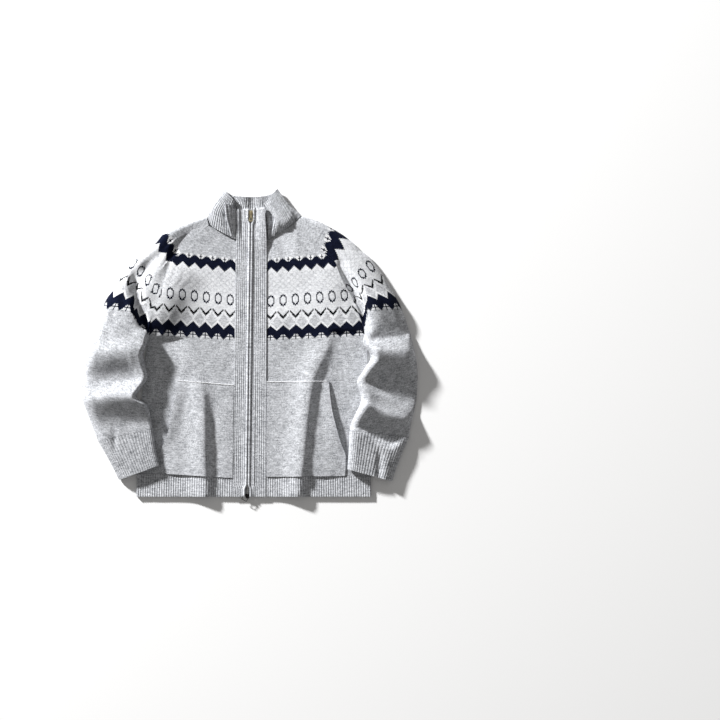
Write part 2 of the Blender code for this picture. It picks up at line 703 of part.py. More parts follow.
def side_prism(outline, half_width):
    """The same, with its outline in Y and Z, across X."""

    def make(shape):
        ends = []
        for x in (-half_width, half_width):
            ends.append([shape.verts.new((x * MM, y * MM, z * MM)) for y, z in outline])
        shape.faces.new(ends[0])
        shape.faces.new(ends[1])
        for k in range(len(outline)):
            after = (k + 1) % len(outline)
            shape.faces.new((ends[0][k], ends[0][after], ends[1][after], ends[1][k]))

    return make


def combine(piece, other, operation):
    """Join or cut piece with a guide object that isn't part of the model."""
    other.hide_render = True
    other.display_type = "WIRE"
    modifier = piece.modifiers.new(operation.title(), "BOOLEAN")
    modifier.operation = operation
    modifier.solver = "EXACT"
    modifier.object = other


# Half outlines, for X over 0, from the lower end to the upper one; the other half mirrors them
SLIDER_HALF = ((3.2, -5.5), (3.9, -3.5), (4.2, 3.5), (3.4, 5.8))
BAIL_HALF = ((4.4, -0.4), (4.4, 2.4), (3.4, 3.6))
BAIL_EYE_HALF = ((3.4, -0.05), (3.4, 1.9), (2.8, 2.5))
BAIL_WIDTH = 2.2
SLIDER_Z = FRONT_Z + TAPE_WALL + CHAIN_RISE + 0.3
HINGE_Z = SLIDER_Z + SLIDER_WALL + BAR_RISE


def mirrored(half):
    """A whole outline from its half where X is over 0."""
    return list(half) + [(-x, y) for x, y in reversed(half)]


def make_slider(name, y, finish):
    """A plate over the chain with a bail, whose legs stand along the zip."""
    place = (zip_x(y) * MM, y * MM, 0)
    top = SLIDER_Z + SLIDER_WALL
    bail_outline = [(a, top + b) for a, b in mirrored(BAIL_HALF)]
    eye_outline = [(a, top + b) for a, b in mirrored(BAIL_EYE_HALF)]
    plate = add_object(name, prism(mirrored(SLIDER_HALF), SLIDER_Z, top), finish)
    bail = add_object(f"{name}_bail", side_prism(bail_outline, BAIL_WIDTH / 2), finish)
    eye = add_object(f"{name}_eye", side_prism(eye_outline, BAIL_WIDTH), finish)
    for piece in (plate, bail, eye):
        piece.location = place
    combine(bail, eye, "DIFFERENCE")
    combine(plate, bail, "UNION")
    return plate


# Half outlines of the pulls, from the bar in the bail down to the free end
TAB_HALF = ((3.4, 0.7), (3.4, -5.5), (2.6, -8.5), (3.4, -12), (5.6, -19.5), (4.6, -21.5))
TAB_EYE_HALF = ((2.0, -0.7), (2.0, -6.0))
TAB_SLOT_HALF = ((1.6, -13.0), (3.2, -19.0))
RING_HALF = ((7.0, 0.75), (7.4, 0.2), (7.4, -12.1), (6.4, -13.3))
RING_EYE_HALF = ((5.9, -0.75), (5.9, -11.3), (5.4, -11.8))
PULL_WALL = 1.2
RING_SLIP = -2.5  # how far the ring has slipped along its bar


def make_pull(name, y, half, eyes, finish, turn=0.0, slip=0.0):
    """A flat pull whose bar lies in the bail. Its origin is on the bar, which is its hinge."""
    outline = [(a + slip, b) for a, b in mirrored(half)]
    plate = add_object(name, prism(outline, -PULL_WALL / 2, PULL_WALL / 2), finish)
    pieces = [plate]
    for k, eye in enumerate(eyes):
        hole = [(a + slip, b) for a, b in mirrored(eye)]
        cutter = add_object(f"{name}_eye_{k}", prism(hole, -PULL_WALL, PULL_WALL), finish)
        combine(plate, cutter, "DIFFERENCE")
        pieces.append(cutter)
    for piece in pieces:
        piece.location = (zip_x(y) * MM, y * MM, HINGE_Z * MM)
        piece.rotation_euler.z = turn
    return plate


def settle():
    """Move the cardigan so that the origin is under the middle of its outline."""
    shown = [piece for piece in bpy.context.scene.objects if not piece.hide_render]
    bpy.context.view_layer.update()
    corners = np.array([piece.matrix_world @ vert.co for piece in shown for vert in piece.data.vertices])
    middle = (corners.min(axis=0) + corners.max(axis=0)) / 2
    for piece in bpy.context.scene.objects:
        piece.location.x -= middle[0]
        piece.location.y -= middle[1]


def build():
    for old in list(bpy.data.objects):
        bpy.data.objects.remove(old)
    make_back()
    make_back_hem()
    for side, name in ((-1, "right"), (1, "left")):
        make_front(side, name)
        make_front_hem(side, name)
        make_sleeve(side, name)
        make_cuff(side, name)
        make_placket(side, name)
    make_collar()
    make_zip()
    make_slider("slider_top", SLIDER_TOP_Y, BRASS)
    make_pull("pull_top", SLIDER_TOP_Y, TAB_HALF, (TAB_EYE_HALF, TAB_SLOT_HALF), BRASS)
    make_slider("slider_bottom", SLIDER_BOTTOM_Y, BLACK_METAL)
    ring = (RING_HALF, (RING_EYE_HALF,), BLACK_METAL, BOTTOM_TURN, RING_SLIP)
    make_pull("pull_bottom", SLIDER_BOTTOM_Y, *ring)
    settle()


build()
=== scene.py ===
"""The looks of a grey wool zip cardigan with a Norwegian yoke, laid flat on a pale table.

Left and right are the wearer's. Plan sizes are in millimetres from the zip's lower end: X runs to the
wearer's left, Y to the collar, Z up from the table. Each piece of cloth is one thin shell between an
outer and an inner grid of points, and its UV map counts the knit: wales across, courses down.
"""

from collections import namedtuple
from functools import partialmethod

import bmesh
import bpy
import numpy as np
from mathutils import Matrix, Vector


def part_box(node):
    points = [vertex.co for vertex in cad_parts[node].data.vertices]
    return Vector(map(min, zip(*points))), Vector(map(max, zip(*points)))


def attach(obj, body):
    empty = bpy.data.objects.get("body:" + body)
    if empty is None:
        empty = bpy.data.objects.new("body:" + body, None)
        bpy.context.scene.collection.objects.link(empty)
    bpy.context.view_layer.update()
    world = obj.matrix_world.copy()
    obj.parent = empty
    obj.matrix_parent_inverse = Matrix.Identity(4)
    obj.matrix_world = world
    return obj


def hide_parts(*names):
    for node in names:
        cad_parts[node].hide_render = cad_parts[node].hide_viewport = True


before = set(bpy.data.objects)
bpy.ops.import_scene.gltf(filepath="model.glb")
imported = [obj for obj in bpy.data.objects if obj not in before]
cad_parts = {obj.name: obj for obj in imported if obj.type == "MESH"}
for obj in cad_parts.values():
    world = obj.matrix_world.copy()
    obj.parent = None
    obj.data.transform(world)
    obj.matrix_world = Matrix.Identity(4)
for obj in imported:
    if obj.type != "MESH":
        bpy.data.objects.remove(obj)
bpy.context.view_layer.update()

MM = 0.001
GARMENT = "garment"
SIDES = {-1: "right", 1: "left"}  # a side is -1 on the wearer's right and 1 on the wearer's left

# The frame's places
HEM_LOW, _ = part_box("hem_back")
HEM_CORNER = (-279.0, 0.0)  # the same corner in this script's plan
SHIFT = np.array((HEM_LOW.x / MM - HEM_CORNER[0], HEM_LOW.y / MM - HEM_CORNER[1], 0.0))

# Cloth
WALL = 2.6
RIB_WALL = 2.9
CUFF_WALL = 2.4
BACK_WALL = 3.0
RIB_RISE = 0.9
RIB_PITCH = 5.7
RIB_COLUMNS = 8  # grid columns in one rib
SEAM = 0.36  # gap between two pieces at a seam
LAYER = 0.4  # gap between a pocket and its front
FRONT_Z = BACK_WALL + 0.3
STACK_Z = 8.0  # height of the body's layers under a sleeve
ROUGH = 0.45  # how uneven the cloth lies
STITCH = 2.5  # width of a wale
COURSE = 2.4  # height of a course
REPEAT = 12  # wales in one repeat of the yoke

# Body
ZIP_TOP, ZIP_BOTTOM = (4.0, 712.0), (-5.0, 0.0)
ARMPIT_ROW = 7  # the section at the armpit
FINE = 8  # grid rows between two sections

Place = namedtuple("Place", "x y")
Section = namedtuple("Section", "inner_x inner_y outer_x outer_y seam_z inner_z outer_z inner_d outer_d")
Crease = namedtuple("Crease", "height left right points")
Mouth = namedtuple("Mouth", "x y gape")
Stand = namedtuple("Stand", "base_x base_y base_z mid_x mid_y mid_z rim_x rim_y rim_z ribs flat")
Band = namedtuple("Band", "depth near_y slope repeat")


def table(kind, *rows):
    return tuple(kind(*row) for row in rows)


# Sleeve sections, from the neck to the cuff's seam: the plan of the inner and the outer end, the
# heights at the raglan and near the two folds, and how deep both ends lie in the yoke
SLEEVE_RIGHT = table(
    Section,
    (-101, 669, -105, 690, 8, 13, 12, -72, -56),
    (-135, 641, -147, 678, 8, 19, 16, -46, -40),
    (-172, 606, -204, 655, 10, 22, 21, -3, 2),
    (-191, 579, -231, 626, 18, 30, 25, 25, 27),
    (-209, 535, -258, 604, 27, 34, 29, 74, 64),
    (-221, 498, -295, 573, 32, 38, 33, 110, 114),
    (-241, 441, -354, 485, 28, 44, 35, 168, 187),
    (-248, 394, -374, 429, 12, 46, 34, 212, 240),
    (-251, 379, -391, 384, 9, 44, 32, 240, 282),
    (-261, 350, -404, 342, 9, 41, 31, 270, 312),
    (-256, 320, -410, 315, 9, 40, 31, 300, 340),
    (-252, 290, -415, 290, 9, 39, 31, 330, 366),
    (-278, 248, -414, 246, 9, 37, 31, 372, 410),
    (-251, 224, -401, 209, 9, 33, 29, 404, 450),
    (-238, 169, -374, 137, 9, 25, 23, 462, 524),
)
SLEEVE_LEFT = table(
    Section,
    (103, 668, 130, 692, 12, 13, 12, -76, -54),
    (144, 636, 174, 678, 15, 21, 15, -32, -18),
    (199, 589, 224, 650, 19, 28, 18, 19, 20),
    (211, 579, 253, 629, 20, 30, 18, 30, 42),
    (224, 547, 273, 609, 20, 34, 20, 62, 62),
    (236, 522, 308, 577, 19, 39, 20, 92, 108),
    (256, 484, 369, 478, 14, 46, 18, 142, 192),
    (283, 411, 394, 411, 9, 46, 17, 206, 252),
    (280, 379, 401, 387, 9, 45, 17, 242, 282),
    (299, 345, 411, 342, 9, 45, 17, 280, 328),
    (280, 310, 414, 315, 9, 45, 17, 318, 355),
    (266, 283, 415, 288, 9, 45, 17, 346, 382),
    (275, 238, 411, 233, 9, 44, 17, 392, 437),
    (253, 186, 399, 182, 9, 41, 18, 448, 490),
    (247, 164, 394, 147, 9, 37, 19, 472, 526),
)
CUFF_RIGHT = table(
    Section,
    (-238, 169, -374, 137, 9, 25, 23, 0, 0),
    (-231, 115, -344, 85, 9, 23, 21, 56, 60),
    (-222, 78, -322, 41, 9, 21, 20, 94, 109),
)
CUFF_LEFT = table(
    Section,
    (247, 164, 394, 147, 9, 37, 19, 0, 0),
    (245, 112, 370, 90, 9, 31, 20, 52, 62),
    (242, 68, 352, 38, 9, 26, 20, 96, 117),
)
SIDE_RIGHT = table(
    Place, (-248, 394), (-256, 350), (-263, 263), (-273, 164), (-278, 55), (-279, 0),
)
SIDE_LEFT = table(
    Place, (283, 411), (290, 362), (293, 263), (298, 164), (299, 51), (300, 0),
)
BACK_NECK = table(Place, (-86, 680), (-45, 674.5), (0, 672), (45, 675), (95, 684))
MOUTH_RIGHT = table(
    Mouth,
    (-182, 287, 0.5), (-180, 263, 3), (-186, 233, 5), (-194, 194, 6),
    (-201, 159, 5), (-214, 127, 2.5), (-219, 104, 0.5), (-217, 57, 0),
)
MOUTH_LEFT = table(
    Mouth,
    (196, 285, 0.5), (199, 251, 3), (204, 214, 5), (213, 177, 7),
    (225, 135, 5), (236, 107, 2), (237, 85, 0.5), (236, 51, 0),
)

# Creases: ridges (height over 0) and troughs (under 0), with how far each one falls off
# on the left and on the right of its run, and its points: x, y and how strong it is there
BODY_CREASES = table(
    Crease,
    (10.5, 15, 30, (
        (-132, 306, 0.1), (-123, 280, 0.4), (-117, 250, 0.75), (-113, 189, 1), (-112, 115, 1.05),
        (-110, 53, 1.1), (-108, 8, 1.1),
    )),
    (11, 16, 32, (
        (196, 390, 0.15), (186, 362, 0.5), (171, 330, 0.85), (155, 293, 1), (145, 238, 1.05), (138, 177, 1),
        (133, 127, 1.05), (127, 66, 1.1), (121, 8, 1.1),
    )),
    (-3, 16, 16, ((-88, 240, 0.3), (-86, 150, 0.8), (-84, 60, 1))),
    (3, 10, 16, ((64, 622, 0.6), (70, 600, 1), (78, 566, 0.3))),
    (3, 10, 18, ((112, 644, 0.5), (120, 620, 1), (128, 596, 0.5))),
    (2.5, 12, 20, ((60, 470, 0.3), (78, 430, 1), (84, 380, 0.4))),
    (3, 12, 14, ((214, 440, 0.3), (206, 400, 1), (196, 372, 0.6))),
)
CREASES_RIGHT = table(
    Crease,
    (-19, 12, 13, ((-288, 556, 0.5), (-282, 520, 0.9), (-272, 466, 1), (-258, 424, 1), (-246, 402, 0.7))),
    (7, 16, 8, ((-312, 540, 0.4), (-298, 500, 0.9), (-290, 466, 1), (-270, 431, 1), (-252, 400, 0.8))),
    (12, 24, 40, ((-389, 351, 0.7), (-345, 356, 1), (-295, 360, 0.9), (-266, 368, 0.2))),
    (-12, 38, 15, ((-385, 292, 0.6), (-340, 288, 1), (-290, 292, 0.9), (-262, 300, 0.2))),
    (13, 16, 34, ((-395, 240, 0.6), (-357, 245, 1), (-308, 247, 1), (-262, 248, 1))),
    (-4, 30, 18, ((-385, 180, 0.4), (-340, 180, 0.9), (-290, 182, 1), (-250, 186, 1))),
    (-3, 7, 7, ((-334, 172, 0.5), (-332, 140, 1), (-330, 112, 0.4))),
    (4, 18, 18, ((-355, 470, 0.4), (-325, 420, 1), (-310, 390, 0.3))),
    (-10, 14, 26, ((-214, 606, 0.5), (-240, 580, 1), (-262, 548, 1), (-276, 520, 0.5))),
    (5, 16, 16, ((-236, 622, 0.5), (-270, 584, 1), (-294, 552, 0.6))),
    (-9, 10, 30, ((-112, 668, 0.5), (-140, 648, 1), (-176, 614, 0.9), (-194, 592, 0.4))),
    (-4, 8, 8, ((-340, 472, 0.4), (-335, 453, 1), (-330, 436, 0.4))),
)
CREASES_LEFT = table(
    Crease,
    (-17, 13, 9, ((224, 572, 0.3), (243, 526, 0.7), (264, 484, 1), (284, 446, 1), (286, 420, 0.6))),
    (6, 16, 34, ((290, 492, 0.6), (330, 486, 1), (385, 476, 0.9))),
    (-9, 34, 12, ((288, 392, 0.8), (330, 394, 1), (384, 400, 0.9))),
    (14, 18, 44, ((296, 352, 0.5), (316, 357, 1), (352, 358, 1), (404, 356, 1))),
    (9, 34, 10, ((306, 362, 0.4), (296, 340, 1), (280, 310, 1), (266, 284, 0.6))),
    (-13, 42, 14, ((276, 290, 0.7), (300, 282, 1), (345, 256, 1), (408, 220, 0.9))),
    (12, 12, 26, ((264, 232, 0.9), (290, 226, 1), (330, 208, 1), (400, 186, 0.9))),
    (7, 26, 10, ((284, 236, 0.5), (272, 206, 1), (260, 180, 0.6))),
    (-11, 28, 10, ((256, 176, 1), (290, 164, 1), (317, 144, 1), (350, 134, 1), (384, 158, 0.8))),
    (-3.5, 9, 8, ((321, 116, 0.3), (320, 90, 1), (318, 36, 1))),
    (-2, 8, 8, ((356, 112, 0.3), (350, 80, 1), (346, 44, 0.8))),
)
# How the yoke jumps where a sleeve is pleated at the armpit: for each section, the share of its row
# at the pleat and the depth that the pleat hides
PLEAT_RIGHT = ((0.4, 0),) * 5 + ((0.42, 5), (0.4, 28), (0.05, 22)) + ((0, 0),) * 7
PLEAT_LEFT = ((0.3, 0),) * 5 + ((0.3, 4), (0.27, 26), (0.06, 34)) + ((0, 0),) * 7

# The collar's strip, from the right placket round the neck to the left one: the middle of its wall at
# the neckline, on its ridge and at the rim, how many ribs lead to the next row, and 1 where it is flat
COLLAR = table(
    Stand,
    (-34.6, 632.9, 7, -34.1, 672, 7, -33.6, 711, 7, 2, 0),
    (-38, 634.9, 7, -44, 679, 14, -46, 718.5, 15, 2, 0),
    (-42, 637.1, 7.4, -57, 687, 20, -60.5, 721.5, 21, 2, 0),
    (-46, 639.3, 7.6, -46, 683, 9, -44, 724, 12, 2, 0),
    (-52, 642.7, 9, -52, 690, 10, -38, 729, 13, 2, 0),
    (-60, 647.2, 9.5, -61, 697, 12.5, -42, 736, 15, 3, 0),
    (-75, 655.6, 9.5, -70, 703, 15.5, -48.5, 743, 15, 3, 0),
    (-92, 665.1, 8.5, -82, 710, 15.5, -54, 750, 14, 2, 0),
    (-98.5, 677, 8, -89, 717, 12.5, -57.5, 755, 11, 2, 0),
    (-103, 692.5, 6, -84, 725, 6, -60, 758, 5.5, 1, 0.6),
    (-95, 686.3, 1.9, -74, 717, 1.9, -51, 748, 1.9, 1, 1),
    (-84, 681.3, 1.7, -62, 711, 1.7, -36, 742, 3, 5, 1),
    (-45, 675.7, 1.7, -33, 709, 3, -22, 741, 6, 4, 1),
    (-16, 673.8, 1.7, -12, 708, 4.5, -9, 740, 7, 2, 1),
    (-2, 673.2, 1.7, 0, 707, 2.4, 2, 740, 3.4, 2, 1),
    (14, 673.6, 1.7, 12, 708, 1.8, 12, 740, 2.2, 2, 1),
    (28, 674.5, 1.7, 24, 708, 2.4, 22, 740, 3.2, 2, 1),
    (45, 676.2, 1.7, 34, 709, 2.6, 29, 741, 3.6, 6, 1),
    (94, 685.3, 1.7, 69, 714, 1.7, 42, 743, 1.7, 2, 1),
    (112, 689.3, 1.9, 86, 717, 1.9, 58, 749, 1.9, 1, 1),
    (128, 693.5, 7, 99, 717, 9, 68, 758, 9, 1, 0.6),
    (114.5, 680, 9, 108, 695, 16, 65, 755.5, 14, 2, 0),
    (102.5, 669.7, 8, 101, 679, 20, 61, 751, 14.5, 3, 0),
    (88, 660.3, 7.5, 89.5, 669, 24, 55.5, 746, 14, 3, 0),
    (74, 651.1, 7.5, 77, 677, 24, 50, 739, 14, 2, 0),
    (63, 644, 7.5, 71, 681, 22, 44, 730, 13, 2, 0),
    (57, 640, 7, 67, 684, 17, 38, 722, 11, 2, 0),
    (53.5, 637.7, 7, 65, 684, 15, 64, 713.5, 13, 1, 0),
    (51.5, 636.5, 7, 61.5, 682, 6.5, 60, 713.5, 6.5, 2, 0),
    (45.8, 632.9, 7, 43.9, 673, 8, 40.2, 714, 9, 1, 0),
)

# The yoke's rows on each front: how deep they lie, where they meet the placket, how they rise towards
# the raglan (mm for each mm), and the width of a repeat there
YOKE_RIGHT = table(
    Band,
    (-60, 644, 0.17, 29.4),
    (0, 585.3, 0.125, 29.4),
    (106.8, 485.4, 0.11, 29.4),
    (165.6, 425.8, 0.08, 30.2),
    (206.4, 385.8, 0.065, 30.3),
)
YOKE_LEFT = table(
    Band,
    (-60, 642, 0.1, 27.4),
    (0, 585.4, 0.075, 27.6),
    (106.8, 482, 0.082, 30.2),
    (165.6, 420.6, 0.062, 31.2),
    (206.4, 385, 0.05, 31.4),
)
OVAL_START = {-1: 48.6, 1: 51.8}  # from the zip to the first oval's middle

SLEEVE = {-1: SLEEVE_RIGHT, 1: SLEEVE_LEFT}
CUFF = {-1: CUFF_RIGHT, 1: CUFF_LEFT}
BODY_SIDE = {-1: SIDE_RIGHT, 1: SIDE_LEFT}
MOUTH = {-1: MOUTH_RIGHT, 1: MOUTH_LEFT}
SLEEVE_CREASES = {-1: CREASES_RIGHT, 1: CREASES_LEFT}
PLEAT = {-1: PLEAT_RIGHT, 1: PLEAT_LEFT}
YOKE = {-1: YOKE_RIGHT, 1: YOKE_LEFT}


# Shapes


def smooth(t):
    t = np.clip(t, 0.0, 1.0)
    return t * t * (3.0 - 2.0 * t)


def rounded(distance, radius):
    """0 on a fold, 1 from radius inwards, as a quarter of a circle."""
    t = np.clip(distance / radius, 0.0, 1.0)
    return np.sqrt(1.0 - (1.0 - t) ** 2)


def spline(rows, steps):
    """A smooth curve through the rows, with steps points from each row to the next."""
    rows = np.asarray(rows, float)
    slope = np.gradient(rows, axis=0)
    counts = np.broadcast_to(steps, len(rows) - 1)
    k = np.repeat(np.arange(len(rows) - 1), counts)
    t = np.concatenate([np.arange(count) / count for count in counts])[:, None]
    curve = (1 - smooth(t)) * rows[k] + smooth(t) * rows[k + 1]
    curve += t * (1 - t) ** 2 * slope[k] - t**2 * (1 - t) * slope[k + 1]
    return np.vstack([curve, rows[-1]])


def steps_to(start, end, count):
    """Even places after start, the last of them on end."""
    return np.linspace(start, end, count + 1)[1:]


def relief(x, y, creases):
    """How far the creases lift the cloth at x, y."""
    lift = np.zeros(np.broadcast(x, y).shape)
    for crease in creases:
        nearest = np.full(lift.shape, 1e9)
        own = np.zeros(lift.shape)
        for (x0, y0, strong0), (x1, y1, strong1) in zip(crease.points, crease.points[1:]):
            dx, dy = x1 - x0, y1 - y0
            along = np.clip(((x - x0) * dx + (y - y0) * dy) / (dx * dx + dy * dy), 0, 1)
            off_x, off_y = x - x0 - along * dx, y - y0 - along * dy
            away = np.hypot(off_x, off_y)
            width = np.where(dx * off_y - dy * off_x > 0, crease.left, crease.right)
            strong = strong0 + along * (strong1 - strong0)
            closer = away < nearest
            own = np.where(closer, crease.height * strong * np.exp(-((away / width) ** 2)), own)
            nearest = np.minimum(away, nearest)
        lift = lift + own
    return lift


WAVES = np.random.default_rng(7).uniform((0.03, 0, 0), (0.16, 2 * np.pi, 2 * np.pi), (14, 3))


def uneven(x, y):
    """Soft unevenness of heavy knitted cloth, from -1 to 1."""
    total = np.zeros(np.broadcast(x, y).shape)
    for pace, direction, phase in WAVES:
        total = total + np.sin(pace * (x * np.cos(direction) + y * np.sin(direction)) + phase)
    return total / 6.0


def zip_x(y):
    share = (y - ZIP_BOTTOM[1]) / (ZIP_TOP[1] - ZIP_BOTTOM[1])
    return ZIP_BOTTOM[0] + (ZIP_TOP[0] - ZIP_BOTTOM[0]) * share


def placket_edge(side, y):
    if side < 0:
        return -42.0 + 10.0 * y / 710.0
    return np.interp(y, (0.0, 634.0, 718.0), (41.0, 44.0, 38.0))


def offset_line(points, distance):
    """A line of plan points moved sideways, to the right of its run where distance is over 0."""
    along = np.gradient(points, axis=0)
    along /= np.linalg.norm(along, axis=1)[:, None]
    return points + distance * np.stack([along[:, 1], -along[:, 0]], axis=1)


def side_x(side, y):
    places = BODY_SIDE[side][::-1]
    return np.interp(y, [place.y for place in places], [place.x for place in places])


def raglan(side):
    """The raglan seam's plan points and heights, from the neck to the armpit."""
    line = spline(SLEEVE[side], FINE)[: ARMPIT_ROW * FINE + 1]
    return line[:, :2], line[:, 4]


def back_raglan(side):
    line, _ = raglan(side)
    neck = BACK_NECK[0] if side < 0 else BACK_NECK[-1]
    share = np.clip(1.0 - np.arange(len(line)) / (len(line) - 1 - FINE), 0, 1)
    return line + share[:, None] * (np.array(neck) - line[0])


def stacked(*parts):
    """Points, or places in the knit, from their parts stretched to one shape."""
    return np.stack(np.broadcast_arrays(*parts), axis=-1)


def raised(grid, height):
    lifted = grid.copy()
    lifted[..., 2] += height
    return lifted


def denser(shares, count):
    """The same shares with count steps in place of each one."""
    index = np.arange((len(shares) - 1) * count + 1) / count
    return np.interp(index, np.arange(len(shares)), shares)


def lengths(grid, axis):
    """Distance along a grid's lines, from their first point."""
    step = np.linalg.norm(np.diff(grid, axis=axis), axis=-1)
    start = np.zeros_like(np.take(step, [0], axis=axis))
    return np.concatenate([start, np.cumsum(step, axis=axis)], axis=axis)


def placed(name, data):
    piece = bpy.data.objects.new(name, data)
    bpy.context.scene.collection.objects.link(piece)
    return piece


def solid(name, points, faces, material):
    """A piece of the garment from its points and faces."""
    mesh = bpy.data.meshes.new(name)
    mesh.from_pydata(((points + SHIFT) * MM).tolist(), [], faces.tolist())
    mesh.materials.append(material)
    piece = placed(name, mesh)
    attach(piece, GARMENT)
    return piece


def cloth(node, outer, inner, finish, knit):
    """The node's closed cloth shell from two grids of the same shape, joined round their rims.

    knit holds each point's wale and course.
    """
    rows, columns = outer.shape[:2]
    points = np.concatenate([outer.reshape(-1, 3), inner.reshape(-1, 3)])
    index = np.arange(rows * columns).reshape(rows, columns)
    corners = (index[:-1, :-1], index[:-1, 1:], index[1:, 1:], index[1:, :-1])
    top = np.stack(corners, axis=-1).reshape(-1, 4)
    under = top[:, ::-1] + rows * columns
    rim = np.concatenate([index[:, 0], index[-1, 1:], index[-2::-1, -1], index[0, -2:0:-1]])
    after = np.roll(rim, -1)
    edge = np.stack([rim, after, after + rows * columns, rim + rows * columns], axis=1)
    faces = np.concatenate([top, under, edge])
    piece = solid(f"{node}_{finish.ending}", points, faces, finish.material)
    mesh = piece.data
    shape = bmesh.new()
    shape.from_mesh(mesh)
    bmesh.ops.recalc_face_normals(shape, faces=shape.faces)
    shape.to_mesh(mesh)
    shape.free()
    counted = np.concatenate([knit.reshape(-1, 2)] * 2)
    corner = np.zeros(len(mesh.loops), np.int32)
    mesh.loops.foreach_get("vertex_index", corner)
    layer = mesh.uv_layers.new(name="knit")
    layer.data.foreach_set("uv", counted[corner].astype(np.float32).ravel())
    mesh.shade_smooth()
    mesh.set_sharp_from_angle(angle=np.radians(75))
    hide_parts(node)
    declare(inner)


def declare(grid):
    """Work out how large the cloth was cut, from its own grid; the sizes are not passed on."""
    a, b = grid[1:, 1:] - grid[:-1, :-1], grid[1:, :-1] - grid[:-1, 1:]
    area = np.linalg.norm(np.cross(a, b), axis=-1).sum() / 2 * MM**2
    width = lengths(grid, 1)[:, -1].max() * MM
    length = lengths(grid, 0)[-1].max() * MM
    flat = (round(float(width), 3), round(float(length), 3))
    area = min(round(float(area), 4), flat[0] * flat[1])


# Shader groups


def fill(node, inputs):
    """Set a node's inputs, each from a field, a socket, a colour or a number."""
    for label, value in inputs.items():
        value = getattr(value, "socket", value)
        if isinstance(value, bpy.types.NodeSocket):
            node.id_data.links.new(value, node.inputs[label])
        else:
            node.inputs[label].default_value = value + (1,) if isinstance(value, tuple) else value


def add_node(tree, kind, inputs, **settings):
    node = tree.nodes.new(kind)
    for label, value in settings.items():
        setattr(node, label, value)
    fill(node, inputs)
    return node


class Field:
    """A number that changes over a surface, as a socket of a node tree, with the usual operators."""

    def __init__(self, socket):
        self.socket = socket

    def math(self, operation, *values):
        inputs = dict(enumerate((self,) + values))
        return Field(add_node(self.socket.id_data, "ShaderNodeMath", inputs, operation=operation).outputs[0])

    __add__ = partialmethod(math, "ADD")
    __sub__ = partialmethod(math, "SUBTRACT")
    __mul__ = partialmethod(math, "MULTIPLY")
    __truediv__ = partialmethod(math, "DIVIDE")
    __abs__ = partialmethod(math, "ABSOLUTE")
    __lt__ = partialmethod(math, "LESS_THAN")
    __gt__ = partialmethod(math, "GREATER_THAN")
    __or__ = partialmethod(math, "MAXIMUM")
    floor = partialmethod(math, "FLOOR")
    fraction = partialmethod(math, "FRACT")

    def between(self, low, high):
        return (self > low) * (self < high)

    def limited(self):
        return Field(add_node(self.socket.id_data, "ShaderNodeClamp", {"Value": self}).outputs[0])


def group(name, inputs, outputs):
    """A shader group with named sockets: its tree, its inputs as fields and its output node."""
    tree = bpy.data.node_groups.new(name, "ShaderNodeTree")
    for label, value in inputs.items():
        kind = "NodeSocketVector" if value == "vector" else "NodeSocketFloat"
        socket = tree.interface.new_socket(label, in_out="INPUT", socket_type=kind)
        if kind == "NodeSocketFloat":
            socket.default_value = value
    for label in outputs:
        tree.interface.new_socket(label, in_out="OUTPUT", socket_type="NodeSocketFloat")
    source = tree.nodes.new("NodeGroupInput")
    sink = tree.nodes.new("NodeGroupOutput")
    return tree, {label: Field(source.outputs[label]) for label in inputs}, sink


def split(vector):
    return [Field(part) for part in add_node(vector.id_data, "ShaderNodeSeparateXYZ", {0: vector}).outputs]


def joined(*values):
    return add_node(values[0].socket.id_data, "ShaderNodeCombineXYZ", dict(enumerate(values))).outputs[0]


def noise(vector, scale, detail=2.0, roughness=0.5):
    inputs = {"Vector": vector, "Scale": scale, "Detail": detail, "Roughness": roughness}
    return Field(add_node(vector.id_data, "ShaderNodeTexNoise", inputs).outputs["Fac"])


def knit_place(tree):
    return add_node(tree, "ShaderNodeUVMap", {}, uv_map="knit").outputs[0]


def object_place(tree):
    return tree.nodes.new("ShaderNodeTexCoord").outputs["Object"]


def stitch_group():
    """Stocking stitch: which stitch a place is in, and how high its yarn stands there."""
    tree, fields, sink = group(
        "stocking stitch", {"Knit": "vector"}, ("Height", "Wale", "Course", "Chance")
    )
    wales, courses, _ = split(fields["Knit"].socket)
    shifted = wales + 0.5
    wale = shifted.floor()
    across = abs(shifted.fraction() - 0.5)
    slanted = courses + across * 1.1 - 0.3
    course = slanted.floor()
    leg = abs(across * 4.0 - 1.0)
    loop = abs(slanted.fraction() * 2.0 - 1.0)
    height = (leg * leg * -1.0 + 1.0) * (loop * loop * -0.55 + 1.0)
    chance = add_node(tree, "ShaderNodeTexWhiteNoise", {"Vector": joined(wale, course)}).outputs["Value"]
    fill(sink, {"Height": height, "Wale": wale, "Course": course + 0.5, "Chance": chance})
    return tree


def heather_group():
    """Melange wool: how light each stitch is, with fibres, slubs and soft clouds."""
    tree, fields, sink = group("heather", {"Knit": "vector", "Chance": 0.5}, ("Light",))
    place = object_place(tree)
    wales, courses, _ = split(fields["Knit"].socket)
    slub = noise(joined(wales * 0.16, courses * 0.8), 1.0, 3.0, 0.7)
    fleck = noise(joined(wales * 0.8, courses), 1.3, 2.0, 0.6)
    cloud = noise(place, 60.0, 3.0, 0.6)
    fibre = noise(place, 1100.0, 2.0, 0.7)
    light = slub * 1.5 + fleck * 0.9 + fields["Chance"] * 0.42 + cloud * 0.7 + fibre * 0.4 - 1.46
    fill(sink, {"Light": light.limited()})
    return tree


